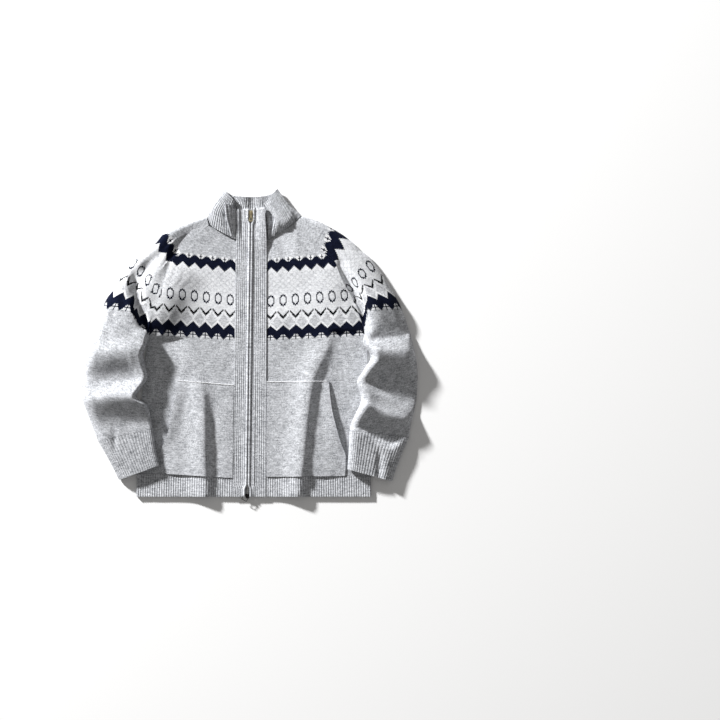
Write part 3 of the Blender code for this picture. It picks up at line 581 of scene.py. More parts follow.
def chart_group():
    """The yoke's chart, counted in stitches from the middle of an oval and in rows from the upper peaks."""
    tree, fields, sink = group(
        "yoke chart", {"Wale": 0.0, "Course": 0.0}, ("Ground", "Pale", "White", "Navy", "Black")
    )
    row = fields["Course"]
    turn = abs((fields["Wale"] / REPEAT + 0.5).fraction() - 0.5) * 2.0
    off = turn * (REPEAT / 2)
    in_notch = off * -1.0 + REPEAT / 2

    upper_edge = turn * 5.0 - 0.3
    upper_foot = turn * 5.9 + 8.8
    upper = (row > upper_edge) * (row < upper_foot)
    upper_cross = (in_notch < 1.6) * row.between(1.0, 2.0) | (in_notch < 0.6) * row.between(-1.0, 6.0)
    upper_notch = (in_notch < 3.6) * row.between(-0.6, 5.4)

    across_oval = off / 3.2
    along_oval = abs(row - 44.5) / 5.3
    oval = (across_oval * across_oval + along_oval * along_oval).between(0.58, 1.3)
    vee = (abs(row + off * 1.05 - 61.5) + off * 0.12 < 1.6) * (off < 5.4)
    vee_echo = abs(row + off * 1.15 - 55.0) < 0.9
    diamond = in_notch / 5.4 + abs(row - 66.5) / 7.4 < 0.95

    lower_edge = turn * 6.2 + 68.7
    lower_foot = turn * 7.1 + 79.1
    lower = (row > lower_edge) * (row < lower_foot)
    lower_cross = (off < 2.4) * row.between(82.0, 83.0) | (off < 0.6) * row.between(79.0, 86.0)
    lower_notch = (off < 4.6) * row.between(78.0, 85.2)

    rising, falling = abs((row / 6.0 + turn).fraction() - 0.5), abs((row / 6.0 - turn).fraction() - 0.5)
    lattice = (rising < 0.1) | (falling < 0.1)
    ground = (row > upper_foot) * (row < lower_edge)
    halo = ground * ((row - upper_foot < 1.2) | (row - lower_edge > -1.4))
    white = halo | vee_echo * ground | upper_notch | lower_notch * 0.6
    pale = (diamond * 0.8 | lattice * row.between(15.0, 38.0) * 0.42) * (white * -1.0 + 1.0) * ground
    navy = upper | lower | upper_cross | lower_cross | oval
    fill(sink, {"Ground": ground, "Pale": pale, "White": white, "Navy": navy, "Black": vee})
    return tree


STITCHES = stitch_group()
HEATHER = heather_group()
CHART = chart_group()


# Materials

Finish = namedtuple("Finish", "material slot ending")  # ending ends the names of the pieces

GREY_DARK = (0.20, 0.208, 0.225)
GREY_LIGHT = (0.795, 0.81, 0.845)
OFF_WHITE = (0.955, 0.965, 0.985)
BLACK = (0.003, 0.003, 0.005)
CHART_COLOURS = {
    "Ground": ((0.575, 0.587, 0.62), OFF_WHITE),
    "Pale": ((0.22, 0.225, 0.24), (0.752, 0.765, 0.795)),
    "White": ((0.6, 0.605, 0.62), OFF_WHITE),
    "Navy": ((0.002, 0.003, 0.008), (0.008, 0.011, 0.030)),
    "Black": (BLACK, BLACK),
}  # the darkest and the lightest stitches of each part, each part over those before it
GROOVE_PAINTED_SHADE = 0.36  # painted shade: how much darker the yarn is painted deep between two ribs
RIB_PAINTED_LIGHT = 0.07  # painted light: how much lighter all the ribbed yarn is painted, so that over the ribs it looks lit


def start_finish(name):
    """A new material, with its node tree and its surface shader."""
    made = bpy.data.materials.new(name)
    made.use_nodes = True
    return made, made.node_tree, made.node_tree.nodes["Principled BSDF"]


def blend(factor, first, second):
    """first where factor is 0, second where it is 1; both are colours or sockets."""
    inputs = {0: factor, 6: first, 7: second}
    return add_node(factor.socket.id_data, "ShaderNodeMix", inputs, data_type="RGBA").outputs[2]


def press(surface, height, depth_mm, strength=1.0):
    """Let the surface look raised by the height field."""
    inputs = {"Strength": strength, "Distance": depth_mm * MM, "Height": height}
    fill(surface, {"Normal": add_node(surface.id_data, "ShaderNodeBump", inputs).outputs[0]})


def wool(name, depth_mm, charted=False, ribbed=False):
    """Heather wool in stocking stitch, with the yoke's chart where it is charted, and painted shade between
    the ribs where it is ribbed.
    """
    made, tree, surface = start_finish(name)
    knit = knit_place(tree)
    stitches = add_node(tree, "ShaderNodeGroup", {}, node_tree=STITCHES)
    fill(stitches, {"Knit": knit})
    heather = add_node(tree, "ShaderNodeGroup", {}, node_tree=HEATHER)
    fill(heather, {"Knit": knit, "Chance": stitches.outputs["Chance"]})
    light = Field(heather.outputs["Light"])
    if ribbed:
        # painted shade deep between two ribs, and painted light that lifts the ribbed yarn over them
        painted_groove_shade = abs((split(knit)[0] * 0.5 + 0.5).fraction() - 0.5) * 2.0
        light = (light + RIB_PAINTED_LIGHT - painted_groove_shade * painted_groove_shade * painted_groove_shade * GROOVE_PAINTED_SHADE).limited()
    colour = blend(light, GREY_DARK, GREY_LIGHT)
    if charted:
        chart = add_node(tree, "ShaderNodeGroup", {}, node_tree=CHART)
        fill(chart, {label: stitches.outputs[label] for label in ("Wale", "Course")})
        for label, (dark, pale) in CHART_COLOURS.items():
            colour = blend(Field(chart.outputs[label]), colour, blend(light, dark, pale))
    fill(surface, {"Base Color": colour, "Roughness": 0.92, "Specular IOR Level": 0.03})
    fill(surface, {"Sheen Weight": 0.02, "Sheen Roughness": 0.5})
    press(surface, Field(stitches.outputs["Height"]) * 0.75 + light * 0.5, depth_mm, 0.8)
    return made


def metal(name, colour, roughness, scale):
    """Worn metal with fine scratches."""
    made, tree, surface = start_finish(name)
    grain = noise(object_place(tree), scale, 3.0, 0.6)
    worn = tuple(min(1.0, part * 1.5) for part in colour)
    fill(surface, {"Base Color": blend(grain, colour, worn), "Roughness": grain * 0.3 + roughness})
    fill(surface, {"Metallic": 1.0})
    press(surface, grain, 0.1, 0.3)
    return made


def tape_cloth():
    """Fine twill of the zip's tape."""
    made, tree, surface = start_finish("zip tape twill")
    across, along, _ = split(knit_place(tree))
    twill = abs((across * 3.0 + along * 3.0).fraction() - 0.5) * 2.0
    shade = (twill * 0.35 + noise(object_place(tree), 700.0) * 0.65).limited()
    fill(surface, {"Base Color": blend(shade, (0.30, 0.31, 0.33), (0.52, 0.53, 0.55)), "Roughness": 0.85})
    press(surface, twill, 0.15)
    return made


def yarn():
    """Light sewing yarn."""
    made, tree, surface = start_finish("light sewing yarn")
    grain = noise(object_place(tree), 900.0, 3.0, 0.6)
    fill(surface, {"Base Color": blend(grain, (0.62, 0.63, 0.65), (0.95, 0.95, 0.96)), "Roughness": 0.9})
    return made


YOKE_WOOL = Finish(wool("wool with the yoke's chart", 0.7, charted=True), "wool_knit", "knit")
PLAIN_WOOL = Finish(wool("plain heather wool", 0.7), "wool_knit", "knit")
# ribbed wool, with painted shade between its ribs
RIB_WOOL = Finish(wool("ribbed heather wool", 0.9, ribbed=True), "wool_rib", "rib")
TAPE = Finish(tape_cloth(), "zip_tape", "tape")
YARN = yarn()
SILVER = metal("zip teeth, pale metal", (0.66, 0.66, 0.65), 0.42, 900.0)
BRASS = metal("slider, pale brass", (0.60, 0.52, 0.34), 0.25, 700.0)
BLACK_METAL = metal("slider, black metal", (0.018, 0.017, 0.018), 0.35, 700.0)


# Knit coordinates: wales from the middle of an oval, courses from the yoke's upper peaks

SLEEVE_START = {-1: 18.0, 1: 20.0}  # from the overarm fold to the first oval's middle
SLEEVE_REPEAT = 29.3
BACK_YOKE_Y = 576.0
BACK_REPEAT = 29.5


def front_knit(side, x, y):
    bands = YOKE[side]
    out = np.abs(x - zip_x(y))
    level = [band.near_y + band.slope * (out - 40.0) for band in bands]
    depth = bands[0].depth + level[0] - y
    repeat = np.full(x.shape, bands[0].repeat)
    for k, (band, after) in enumerate(zip(bands, bands[1:])):
        share = (level[k] - y) / (level[k] - level[k + 1])
        depth = np.where(share > 0, band.depth + share * (after.depth - band.depth), depth)
        widening = np.minimum(share, 1) * (after.repeat - band.repeat)
        repeat = np.where(share > 0, band.repeat + widening, repeat)
    depth = np.where(y < level[-1], bands[-1].depth + level[-1] - y, depth)
    return stacked(REPEAT * (out - OVAL_START[side]) / repeat, depth / COURSE)


def sleeve_knit(side, grid, rows, top_share):
    """The same on a sleeve, whose repeats count from the overarm fold both ways."""
    fold = len(top_share) - 1
    along = lengths(grid, 1)
    wale = REPEAT * (along[:, fold : fold + 1] - along - SLEEVE_START[side]) / SLEEVE_REPEAT
    back = np.linspace(1, 0, grid.shape[1] - fold)[1:]
    share = np.concatenate([top_share, back])
    depth = rows[:, None, 7] + (rows[:, None, 8] - rows[:, None, 7]) * share
    pleat = spline(PLEAT[side], FINE)[:, None]
    beyond = smooth((top_share - pleat[..., 0]) / 0.06 + 0.5) * (1 - top_share) / (1 - pleat[..., 0])
    depth[:, : fold + 1] += pleat[..., 1] * beyond
    return stacked(wale, depth / COURSE)


# Fronts, pockets and the back

COLUMNS_TO_MOUTH = denser(np.array((0, 0.14, 0.26, 0.34, 0.41, 0.48, 0.55, 0.63, 0.74, 0.87, 1)), 4)
COLUMNS_TO_SIDE = np.arange(1, 17) / 16
ROWS_TO_POCKET = 28
ROWS_OF_POCKET = 48
FRONT_NECK_Y = 631.5
GUIDE = 0.64  # where the mouth's line goes on up to the raglan, from the placket outwards
POCKET_SEAM_Y = {-1: 275.0, 1: 283.0}
HEM_SEAM_Y = {-1: 46.0, 1: 49.0}
BODY_PUFF = 2.4
SLEEVE_REACH = 60.0  # how far a sleeve presses the front down, from the side inwards
RAGLAN_Y = (520.0, 575.0, 625.0)
RAGLAN_REACH = (66.0, 76.0, 34.0)  # how far the raglan lifts the front at each of these
RAGLAN_FALL = 2.4  # and how steeply that lift ends
CORD = 1.0  # radius of the pocket seam's yarn
CORD_STITCH = 4.0
CORD_SIDES = 6
CORD_SWAY = 0.35
BACK_ROWS, BACK_COLUMNS = 60, 80


def front_edges(side):
    """Plan points of a front's rows: at the placket, on the pocket mouth's line and at the side."""
    seam, _ = raglan(side)
    seam = offset_line(seam, side * SEAM / 2)
    mouth = spline(MOUTH[side], 4)
    armpit_y, pocket_y = seam[-1, 1], POCKET_SEAM_Y[side]
    fall = (seam[0, 1] - seam[:, 1]) / (seam[0, 1] - armpit_y)
    y = FRONT_NECK_Y + fall * (armpit_y - FRONT_NECK_Y)
    guide = stacked(placket_edge(side, y) + side * SEAM, y)
    guide += GUIDE * (seam - guide)
    to_pocket = steps_to(armpit_y, pocket_y, ROWS_TO_POCKET)
    to_hem = steps_to(pocket_y, HEM_SEAM_Y[side], ROWS_OF_POCKET)
    y = np.concatenate([y, to_pocket, to_hem])
    inner = stacked(placket_edge(side, y) + side * SEAM, y)
    mouth_y = steps_to(mouth[0, 1], mouth[-1, 1], ROWS_OF_POCKET)
    mouth_line = stacked(np.interp(-mouth_y, -mouth[:, 1], mouth[:, 0]), mouth_y)
    guide = np.vstack([guide, steps_to(guide[-1], mouth[0, :2], ROWS_TO_POCKET), mouth_line])
    y = np.concatenate([steps_to(armpit_y, mouth[0, 1], ROWS_TO_POCKET), mouth_y])
    outer = np.vstack([seam, stacked(side_x(side, y), y)])
    return inner, guide, outer


def beside_sleeve(side, x, y):
    return smooth((np.abs(x - side_x(side, y)) - SLEEVE_REACH) / 40.0)


def body_lift(side, x, y):
    """How far a front stands off the back."""
    middle = (placket_edge(side, y) + side_x(side, y)) / 2
    half = np.abs(side_x(side, y) - placket_edge(side, y)) / 2
    puff = BODY_PUFF * smooth(1.0 - np.abs(x - middle) / half) * smooth(y / 80.0)
    return puff + relief(x, y, BODY_CREASES)


def raglan_lift(side, x, y):
    """How far the raglan seam lifts the front beside it."""
    line, height = raglan(side)
    away = np.hypot(x[..., None] - line[:, 0], y[..., None] - line[:, 1])
    near = np.argmin(away, axis=-1)
    top = FRONT_Z + WALL
    reach = np.interp(y, RAGLAN_Y, RAGLAN_REACH)
    return (height[near] - top) * np.exp(-((away.min(axis=-1) / reach) ** RAGLAN_FALL))


def front_grid(side):
    inner, guide, outer = front_edges(side)
    to_mouth = inner[:, None] + COLUMNS_TO_MOUTH[:, None] * (guide - inner)[:, None]
    to_side = guide[:, None] + COLUMNS_TO_SIDE[:, None] * (outer - guide)[:, None]
    plan = np.concatenate([to_mouth, to_side], axis=1)
    x, y = plan[..., 0], plan[..., 1]
    below = np.arange(len(plan)) > ARMPIT_ROW * FINE
    fade = np.where(below, smooth((y[:, -1] - 300.0) / 100.0), 1.0)
    lift = body_lift(side, x, y) + raglan_lift(side, x, y) * fade[:, None]
    lift = np.where(below[:, None], lift * beside_sleeve(side, x, y), lift)
    return stacked(x, y, FRONT_Z + lift)


def make_cord(name, path):
    """The light sewing yarn along a seam, with its stitches."""
    along = lengths(path[None], 1)[0]
    step = np.linspace(0, along[-1], int(along[-1] / CORD_STITCH) * 6)
    line = np.stack([np.interp(step, along, path[:, k]) for k in range(3)], axis=1)
    beat = np.sin(np.pi * step / CORD_STITCH)
    radius = CORD * (0.72 + 0.28 * np.abs(beat))
    turn = np.arange(CORD_SIDES) * 2 * np.pi / CORD_SIDES
    points = line[:, None] + radius[:, None, None] * stacked(0, np.cos(turn), np.sin(turn))
    points[..., 1] += CORD_SWAY * beat[:, None]
    index = np.arange(points[..., 0].size).reshape(-1, CORD_SIDES)
    after = np.roll(index, -1, axis=1)
    faces = stacked(index[:-1], after[:-1], after[1:], index[1:]).reshape(-1, 4)
    piece = solid(name, points.reshape(-1, 3), faces, YARN)
    piece.data.shade_smooth()


def make_front(side, name):
    under = front_grid(side)
    x, y = under[..., 0], under[..., 1]
    knit = front_knit(side, x, y)
    top = raised(under, WALL + ROUGH * uneven(x, y) * 0.5)
    cloth(f"front_{name}", top, under, YOKE_WOOL, knit)
    pocket = (slice(len(under) - 1 - ROWS_OF_POCKET, None), slice(len(COLUMNS_TO_MOUTH)))
    patch = raised(under[pocket], WALL + LAYER)
    mouth = spline(MOUTH[side], 4)
    gape = np.interp(-patch[:, -1, 1], -mouth[:, 1], mouth[:, 2])
    patch[..., 2] += gape[:, None] * smooth((COLUMNS_TO_MOUTH - 0.8) / 0.2)
    top = raised(patch, WALL + ROUGH * uneven(patch[..., 0] + 90, patch[..., 1]))
    make_cord(f"pocket_{name}_seam", top[0, :-1])
    cloth(f"pocket_{name}", top, patch, PLAIN_WOOL, knit[pocket])


def make_back():
    edges = []
    for side in SIDES:
        seam = offset_line(back_raglan(side), side * SEAM / 2)
        y = steps_to(BODY_SIDE[side][0].y, BODY_SIDE[side][-2].y, BACK_ROWS)
        edges.append(np.vstack([seam, stacked(side_x(side, y), y)]))
    right, left = edges
    across = np.linspace(0, 1, BACK_COLUMNS + 1)[:, None]
    plan = right[:, None] + across * (left - right)[:, None]
    neck = spline(BACK_NECK, 8)
    dip = np.interp(plan[0, :, 0], neck[:, 0], neck[:, 1]) - plan[0, :, 1]
    fade = smooth(1.0 - np.arange(len(plan)) / (2.5 * FINE))
    x, y = plan[..., 0], plan[..., 1] + fade[:, None] * dip
    knit = stacked(REPEAT * x / BACK_REPEAT, (BACK_YOKE_Y - y) / COURSE)
    under = stacked(x, y, 0)
    top = raised(under, BACK_WALL - 0.2 + ROUGH * 0.4 * uneven(x, y))
    cloth("back_panel", top, under, YOKE_WOOL, knit)


# Sleeves and cuffs

TOP_COLUMNS = 48
UNDER_EDGE = 0.045
EDGE = 5.0  # height of a fold over the floor
ROUND = {-1: 11.0, 1: 24.0, "outer": 26.0, "under": 6.0}  # how far in the folds round the cloth
FULL_WIDTH = 90.0  # a narrower sleeve is rounded less
SEAM_SOFT = 0.12  # how far from the inner end the creases fade
STEP_START, STEP_END = -17.0, -2.5  # where the underside steps up on the body
CUFF_ROWS, CUFF_RIBS = 12, 22
CUFF_RISE = 0.7


def sleeve_floor(side, x, y):
    """Height of what lies under a sleeve: the table, or the body's layers."""
    inside = -side * (x - side_x(side, y))
    return STACK_Z * smooth((inside - STEP_START) / (STEP_END - STEP_START))


def under_shares(side, start, end):
    """Shares of each underside row, from the outer fold inwards, closest where it steps up."""
    across = np.abs(end[..., 0] - start[..., 0])
    inside = -side * (start[..., 0] - side_x(side, start[..., 1]))
    step_end = np.clip((inside - STEP_END) / across, 0.05, 0.7)
    step_start = np.clip((inside - STEP_START) / across, step_end + 0.06, 0.82)
    beside_fold = np.minimum(UNDER_EDGE, step_end / 2)
    flat = np.ones_like(across)
    key = (flat, (1 - UNDER_EDGE) * flat, 0.88 * flat, step_start, step_end, beside_fold, 0 * flat)
    key = np.concatenate(key, axis=1)
    return np.array([denser(row, 4) for row in key])[:, 1:]


def tube(side, rows, shut, top_share, inset, back_shift):
    """Points of a sleeve's surface, inset into the cloth, a row for each section.

    A row runs from the inner end over the top to the outer fold and back underneath. shut is 1
    where the sleeve is a tube and 0 where its ends are on the raglan seams.
    """

    def fold_height(across, inner_radius, outer_radius):
        inner_edge = 1 - shut * (1 - rounded(across - low, inner_radius))
        return inner_edge * rounded(width - inset - across, outer_radius)

    start, end = rows[:, None, 0:2], rows[:, None, 2:4]
    width = np.linalg.norm(end - start, axis=-1)
    shut = shut[:, None]
    direction = (end - start) / width[..., None]
    low = inset * shut
    across = low + (width - inset - low) * top_share
    plan = start + direction * across[..., None]
    x, y = plan[..., 0], plan[..., 1]
    floor = sleeve_floor(side, x, y) * shut
    crest = rows[:, None, 5] + (rows[:, None, 6] - rows[:, None, 5]) * top_share
    from_seam = 1 - (1 - shut) * (1 - smooth(top_share / 0.5))
    crest = rows[:, None, 4] + (crest - rows[:, None, 4]) * from_seam
    crest = crest + relief(x, y, SLEEVE_CREASES[side]) * smooth(top_share / SEAM_SOFT + shut)
    crest = crest + ROUGH * uneven(x, y) * smooth(top_share / SEAM_SOFT)
    crest = np.maximum(crest, floor + 2 * EDGE)
    room = np.minimum(1.0, width / FULL_WIDTH)
    base = floor + EDGE
    top = base + (crest - inset - base) * fold_height(across, ROUND[side] * room, ROUND["outer"] * room)
    top[:, 0] += shut[:, 0] * SEAM / 2

    start = start + back_shift[:, None]
    under_share = under_shares(side, start, end)
    width = np.linalg.norm(end - start, axis=-1)
    direction = (end - start) / width[..., None]
    across = low + (width - inset - low) * under_share
    under_plan = start + direction * across[..., None]
    floor = sleeve_floor(side, under_plan[..., 0], under_plan[..., 1]) * shut
    under = floor + EDGE - (EDGE - inset) * fold_height(across, ROUND["under"], ROUND["under"])
    under[:, -1] -= shut[:, 0] * SEAM / 2
    plan = np.concatenate([plan, under_plan], axis=1)
    return np.concatenate([plan, np.concatenate([top, under], axis=1)[..., None]], axis=-1)


def spread(count, ease):
    """Shares from 0 to 1, closer to each other near both ends."""
    even = np.linspace(0, 1, count + 1)
    return (1 - ease) * even + ease * (1 - np.cos(np.pi * even)) / 2


def make_sleeve(side, name):
    rows = spline(SLEEVE[side], FINE)
    armpit = ARMPIT_ROW * FINE
    shut = np.clip((np.arange(len(rows)) - (armpit - FINE)) / FINE, 0, 1)
    rows[: armpit + 1, :2] = offset_line(rows[: armpit + 1, :2], -side * SEAM / 2)
    shift = np.zeros((len(rows), 2))
    front_line, _ = raglan(side)
    shift[: armpit + 1] = back_raglan(side) - front_line
    share = spread(TOP_COLUMNS, 0.8)
    outer, inner = [tube(side, rows, shut, share, inset, shift) for inset in (0.0, WALL)]
    knit = sleeve_knit(side, outer, rows, share)
    cloth(f"sleeve_{name}", outer, inner, YOKE_WOOL, knit)


def rib(turns):
    """Height of a rib, 0 between two ribs and 1 on the middle of one."""
    return (0.5 - 0.5 * np.cos(2 * np.pi * turns)) ** 0.8


def rib_knit(turns, down):
    """Places in rib knit: the turns across, two wales each, and how far down."""
    return stacked(2 * turns - 1, down / COURSE)


def make_cuff(side, name):
    rows = spline(CUFF[side], CUFF_ROWS)
    for ends in (slice(0, 2), slice(2, 4)):
        along = rows[1, ends] - rows[0, ends]
        rows[0, ends] += along / np.linalg.norm(along) * 2 * SEAM
    shut, shift = np.ones(len(rows)), np.zeros((len(rows), 2))
    columns = CUFF_RIBS * RIB_COLUMNS
    share = spread(columns, 0.5)
    outer, inner = [tube(side, rows, shut, share, inset, shift) for inset in (0.0, CUFF_WALL)]
    turns = np.arange(outer.shape[1]) / RIB_COLUMNS
    over = turns[: columns + 1]
    outer[:, : columns + 1, 2] += CUFF_RISE * RIB_RISE * rib(over) * smooth(over) * smooth(CUFF_RIBS - over)
    knit = rib_knit(turns, lengths(inner, 0)[:, :1])
    cloth(f"cuff_{name}", outer, inner, RIB_WOOL, knit)


# Rib hems

HEM_ROWS = 12
BACK_RIB_RISE = 0.9


def hem_grid(top, bottom):
    """Plan of a hem between its seam and its edge, a little below the seam."""
    top[:, 1] -= 2 * SEAM
    return top + np.linspace(0, 1, HEM_ROWS + 1)[:, None, None] * (bottom - top)


def make_front_hem(side, name):
    inner, guide, outer = front_edges(side)
    near, far = inner[-1], outer[-1]
    ribs = int(abs(far[0] - near[0]) / RIB_PITCH)
    across = np.linspace(0, 1, ribs * RIB_COLUMNS + 1)
    mouth_share = (guide[-1, 0] - near[0]) / (far[0] - near[0])
    drop = np.interp(across, (0, mouth_share, 1), (0, guide[-1, 1] - near[1], far[1] - near[1]))
    top = stacked(near[0] + across * (far[0] - near[0]), near[1] + drop)
    start_x = placket_edge(side, 0.0) + side * SEAM
    plan = hem_grid(top, stacked(start_x + across * (side_x(side, 0.0) - start_x), 0))
    x, y = plan[..., 0], plan[..., 1]
    under = stacked(x, y, FRONT_Z + relief(x, y, BODY_CREASES) * beside_sleeve(side, x, y))
    turns = np.arange(len(across)) / RIB_COLUMNS
    top = raised(under, RIB_WALL + RIB_RISE * rib(turns) + ROUGH * 0.5 * uneven(x, y))
    knit = rib_knit(turns, lengths(under, 0)[:, :1])
    cloth(f"hem_front_{name}", top, under, RIB_WOOL, knit)


def make_back_hem():
    ribs = int((SIDE_LEFT[-1].x - SIDE_RIGHT[-1].x) / RIB_PITCH)
    across = np.linspace(0, 1, ribs * RIB_COLUMNS + 1)[:, None]
    right, left = [np.array(BODY_SIDE[side][-2:], float) for side in SIDES]
    top, bottom = [right[k] + across * (left[k] - right[k]) for k in (0, 1)]
    plan = hem_grid(top, bottom)
    turns = np.arange(len(across)) / RIB_COLUMNS
    under = stacked(plan[..., 0], plan[..., 1], BACK_RIB_RISE * (1 - rib(turns)))
    knit = rib_knit(turns, lengths(under, 0)[:, :1])
    top = stacked(plan[..., 0], plan[..., 1], BACK_WALL)
    cloth("hem_back", top, under, RIB_WOOL, knit)


# Collar and plackets

COLLAR_SEAM = 1.0
COLLAR_ROWS = 24
COLLAR_LOW = 0.2  # how far the collar stays over the table
FOLD_SOFT = 0.1  # how softly it bends on its ridge
FOLD_STEPS = 9
PLACKET_ROWS = 150
PLACKET_Z = 4.6
PLACKET_PITCH = 5.0  # width of a rib
PLACKET_RISE = 0.7
PLACKET_TOP = {-1: 711.0, 1: 713.5}
PLACKET_CLEAR = 3.1  # from the zip's middle to the end of its teeth
ZIP_COVER = 2.3  # how far the rolled edges lie over the teeth
SLIDER_Y = (701.0, 1.0)
SLIDER_CLEAR = 2.2  # how much further out the edges lie beside a slider
SLIDER_REACH = 28.0
ROLL = 6.5  # width of the smooth edge beside the zip
ROLL_RISE, ROLL_LOW = 1.8, 0.5
ZIP_LIFT = 2.2  # how far the teeth hold that edge up
TOP_ROUND = 1.6
PLACKET_CREASES = {
    -1: table(
        Crease,
        (2.4, 5, 6, ((-28, 711, 1), (-27, 670, 0.8), (-25, 630, 0.2))),
        (-2.0, 5, 5, ((-21, 711, 0.8), (-20, 665, 1), (-18, 630, 0.2))),
        (1.2, 3, 4, ((-12, 240, 0.4), (-12.5, 120, 1), (-13, 6, 1))),
    ),
    1: table(
        Crease,
        (9.5, 8, 18, ((38, 713, 1), (39, 690, 1), (40, 655, 0.9), (41, 630, 0.6), (41, 600, 0))),
        (-1.5, 5, 5, ((16, 713, 1), (15, 690, 0.6), (14, 660, 0))),
        (1.2, 4, 3, ((12, 300, 0.2), (10, 120, 1), (9, 6, 1))),
    ),
}


def make_collar():
    line = spline(COLLAR, [RIB_COLUMNS * stand.ribs for stand in COLLAR[:-1]])
    base, ridge, rim, flat = line[:, 0:3], line[:, 3:6], line[:, 6:9], line[:, 10]
    lower = np.linalg.norm(ridge - base, axis=1)[:, None]
    upper = np.linalg.norm(rim - ridge, axis=1)[:, None]
    base = base + COLLAR_SEAM * (ridge - base) / lower
    bend = lower / (lower + upper)
    height = np.linspace(0, 1, COLLAR_ROWS + 1)[:, None, None]
    strip = 0
    for step in np.linspace(-1, 1, FOLD_STEPS):
        at = height + step * np.minimum(FOLD_SOFT, np.minimum(height, 1 - height))
        below = base + (ridge - base) * at / bend
        above = ridge + (rim - ridge) * (at - bend) / (1 - bend)
        strip = strip + np.where(at < bend, below, above) / FOLD_STEPS
    half = WALL / 2
    strip[..., 2] = np.maximum(strip[..., 2], half + COLLAR_LOW)
    normal = np.cross(np.gradient(strip, axis=1), np.gradient(strip, axis=0))
    normal /= -np.linalg.norm(normal, axis=-1)[..., None]
    turns = np.arange(len(line)) / RIB_COLUMNS
    standing = np.clip(1 - 2 * flat, 0, 1)
    outer = strip + normal * (half + RIB_RISE * rib(turns) * standing)[:, None]
    inner = strip - normal * (half + RIB_RISE * (1 - rib(turns)))[:, None]
    knit = rib_knit(turns, lengths(strip, 0))
    cloth("collar", outer, inner, RIB_WOOL, knit)


def make_placket(side, name):
    y = np.linspace(0, PLACKET_TOP[side], PLACKET_ROWS)
    beside = np.min([np.abs(y - slider_y) for slider_y in SLIDER_Y], axis=0)
    clear = PLACKET_CLEAR - ZIP_COVER + (SLIDER_CLEAR + ZIP_COVER) * smooth((SLIDER_REACH - beside) / 10.0)
    near = zip_x(y) + side * clear
    width = abs(placket_edge(side, y) - near)[:, None]
    ribs = round((width[PLACKET_ROWS * 2 // 5, 0] - ROLL) / PLACKET_PITCH)
    turns = np.arange(-RIB_COLUMNS, ribs * RIB_COLUMNS + 1) / RIB_COLUMNS
    out = np.where(turns < 0, (turns + 1) * ROLL, ROLL + turns / ribs * (width - ROLL))
    x, y = near[:, None] + side * out, y[:, None]
    lift = relief(x, y, PLACKET_CREASES[side]) + ZIP_LIFT * (1 - smooth((out - 2.0) / 6.0))
    under = stacked(x, y, PLACKET_Z + lift)
    roll = ROLL_RISE * np.sqrt(np.clip(1 - (2 * out / ROLL - 1) ** 2, 0, 1)) - ROLL_LOW
    raise_by = np.where(turns < 0, roll, PLACKET_RISE * rib(turns))
    rounding = TOP_ROUND * (1 - rounded(PLACKET_TOP[side] - y, 5.0))
    top = raised(under, RIB_WALL + raise_by + ROUGH * 0.6 * uneven(x, y) - rounding)
    knit = rib_knit(turns, ZIP_TOP[1] - y)
    cloth(f"placket_{name}", top, under, RIB_WOOL, knit)


# Zip

TAPE_HALF = 14.0
TAPE_WALL = 1.0
TAPE_ROWS, TAPE_COLUMNS = 180, 15
TOOTH_PITCH = 2.5  # from one tooth to the next on the same side
Level = namedtuple("Level", "tail head tail_half head_half z")
TOOTH = table(
    Level, (-2.3, 0.55, 0.62, 0.62, 0.0), (-2.3, 0.75, 0.62, 0.75, 1.7), (-2.0, 0.45, 0.36, 0.45, 2.3),
)


def make_tape():
    y = np.linspace(ZIP_BOTTOM[1] + 1.5, ZIP_TOP[1] - 3.0, TAPE_ROWS)[:, None]
    under = stacked(zip_x(y) + np.linspace(-TAPE_HALF, TAPE_HALF, TAPE_COLUMNS), y, FRONT_Z)
    knit = stacked(lengths(under, 1) / STITCH, lengths(under, 0) / COURSE)
    cloth("zip", raised(under, TAPE_WALL), under, TAPE, knit)


def make_teeth():
    """Both rows of teeth, which mesh on the zip's middle."""
    tooth = []
    for tail, head, tail_half, head_half, z in TOOTH:
        tooth += [(tail, -tail_half, z), (head, -head_half, z), (head, head_half, z), (tail, tail_half, z)]
    corner = np.arange(4)
    after = np.roll(corner, -1)
    faces = [(3, 2, 1, 0)]
    for level in (0, 4):
        faces += (stacked(corner, after, after + 4, corner + 4) + level).tolist()
    faces = np.array(faces + [(8, 9, 10, 11)])
    places = np.arange(ZIP_BOTTOM[1] + 7, ZIP_TOP[1] - 8, TOOTH_PITCH / 2)
    points = []
    for k, y in enumerate(places):
        turned = (1, 1, 1) if k % 2 else (-1, -1, 1)
        points.append(np.array(tooth) * turned + (zip_x(y), y, FRONT_Z + TAPE_WALL))
    faces = faces + len(tooth) * np.arange(len(places))[:, None, None]
    solid("zip_teeth", np.concatenate(points), faces.reshape(-1, 4), SILVER)


# Sliders and pulls keep their solids, with softened edges


def finish_metal():
    for name, finish in (("top", BRASS), ("bottom", BLACK_METAL)):
        for piece in (bpy.data.objects[f"slider_{name}"], bpy.data.objects[f"pull_{name}"]):
            for place in piece.material_slots:
                place.material = finish
            weld = piece.modifiers.new("Weld", "WELD")
            weld.merge_threshold = 0.02 * MM
            soft = piece.modifiers.new("Bevel", "BEVEL")
            soft.width = 0.25 * MM
            soft.segments = 3
            soft.limit_method = "ANGLE"


# Table, light and camera

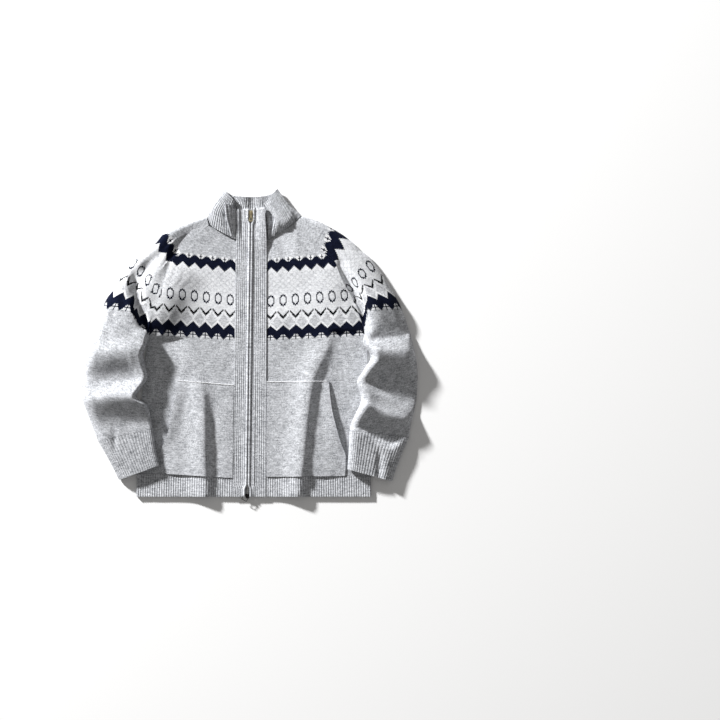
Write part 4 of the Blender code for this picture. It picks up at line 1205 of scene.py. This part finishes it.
TABLE_HALF = 7.0
TABLE_TOP = -0.0004
LIGHT_TRAVEL = (0.72, -0.69)
LIGHT_HEIGHT = np.radians(18.5)
LIGHT_AWAY = 9.0
LIGHT_SIZE = 0.75
LIGHT_POWER = 2250.0
SKY = 0.25
SKY_COLOUR = (1.0, 0.985, 0.965)
CAMERA_PLAN = (272.9, 337.2)
CAMERA_HEIGHT = 9.88
CAMERA_LENS = 200.0


def make_stage():
    corners = [(x * TABLE_HALF, y * TABLE_HALF, TABLE_TOP) for x, y in ((-1, -1), (1, -1), (1, 1), (-1, 1))]
    mesh = bpy.data.meshes.new("table")
    mesh.from_pydata(corners, [], [(0, 1, 2, 3)])
    finish, _, surface = start_finish("pale table")
    fill(surface, {"Base Color": (0.96, 0.96, 0.96), "Roughness": 0.9, "Specular IOR Level": 0.1})
    mesh.materials.append(finish)
    placed("table", mesh)


def light_scene():
    lamp = bpy.data.lights.new("window", "AREA")
    lamp.shape = "DISK"
    lamp.size = LIGHT_SIZE
    lamp.energy = LIGHT_POWER
    window = placed("window", lamp)
    travel = np.array(LIGHT_TRAVEL) / np.linalg.norm(LIGHT_TRAVEL) * np.cos(LIGHT_HEIGHT)
    down = Vector((travel[0], travel[1], -np.sin(LIGHT_HEIGHT)))
    window.location = -LIGHT_AWAY * down
    window.rotation_euler = down.to_track_quat("-Z", "Y").to_euler()
    world = bpy.data.worlds.new("studio")
    world.use_nodes = True
    fill(world.node_tree.nodes["Background"], {"Color": SKY_COLOUR, "Strength": SKY})
    bpy.context.scene.world = world
    bpy.context.scene.view_settings.view_transform = "Standard"


def place_camera():
    lens = bpy.data.cameras.new("camera")
    lens.lens = CAMERA_LENS
    lens.sensor_width = 36
    camera = placed("camera", lens)
    place = (np.array(CAMERA_PLAN) + SHIFT[:2]) * MM
    camera.location = (place[0], place[1], CAMERA_HEIGHT)
    bpy.context.scene.camera = camera


def dress():
    make_back()
    make_back_hem()
    for side, name in SIDES.items():
        make_front(side, name)
        make_front_hem(side, name)
        make_sleeve(side, name)
        make_cuff(side, name)
        make_placket(side, name)
    make_collar()
    make_tape()
    make_teeth()
    finish_metal()
    make_stage()
    light_scene()
    place_camera()


dress()
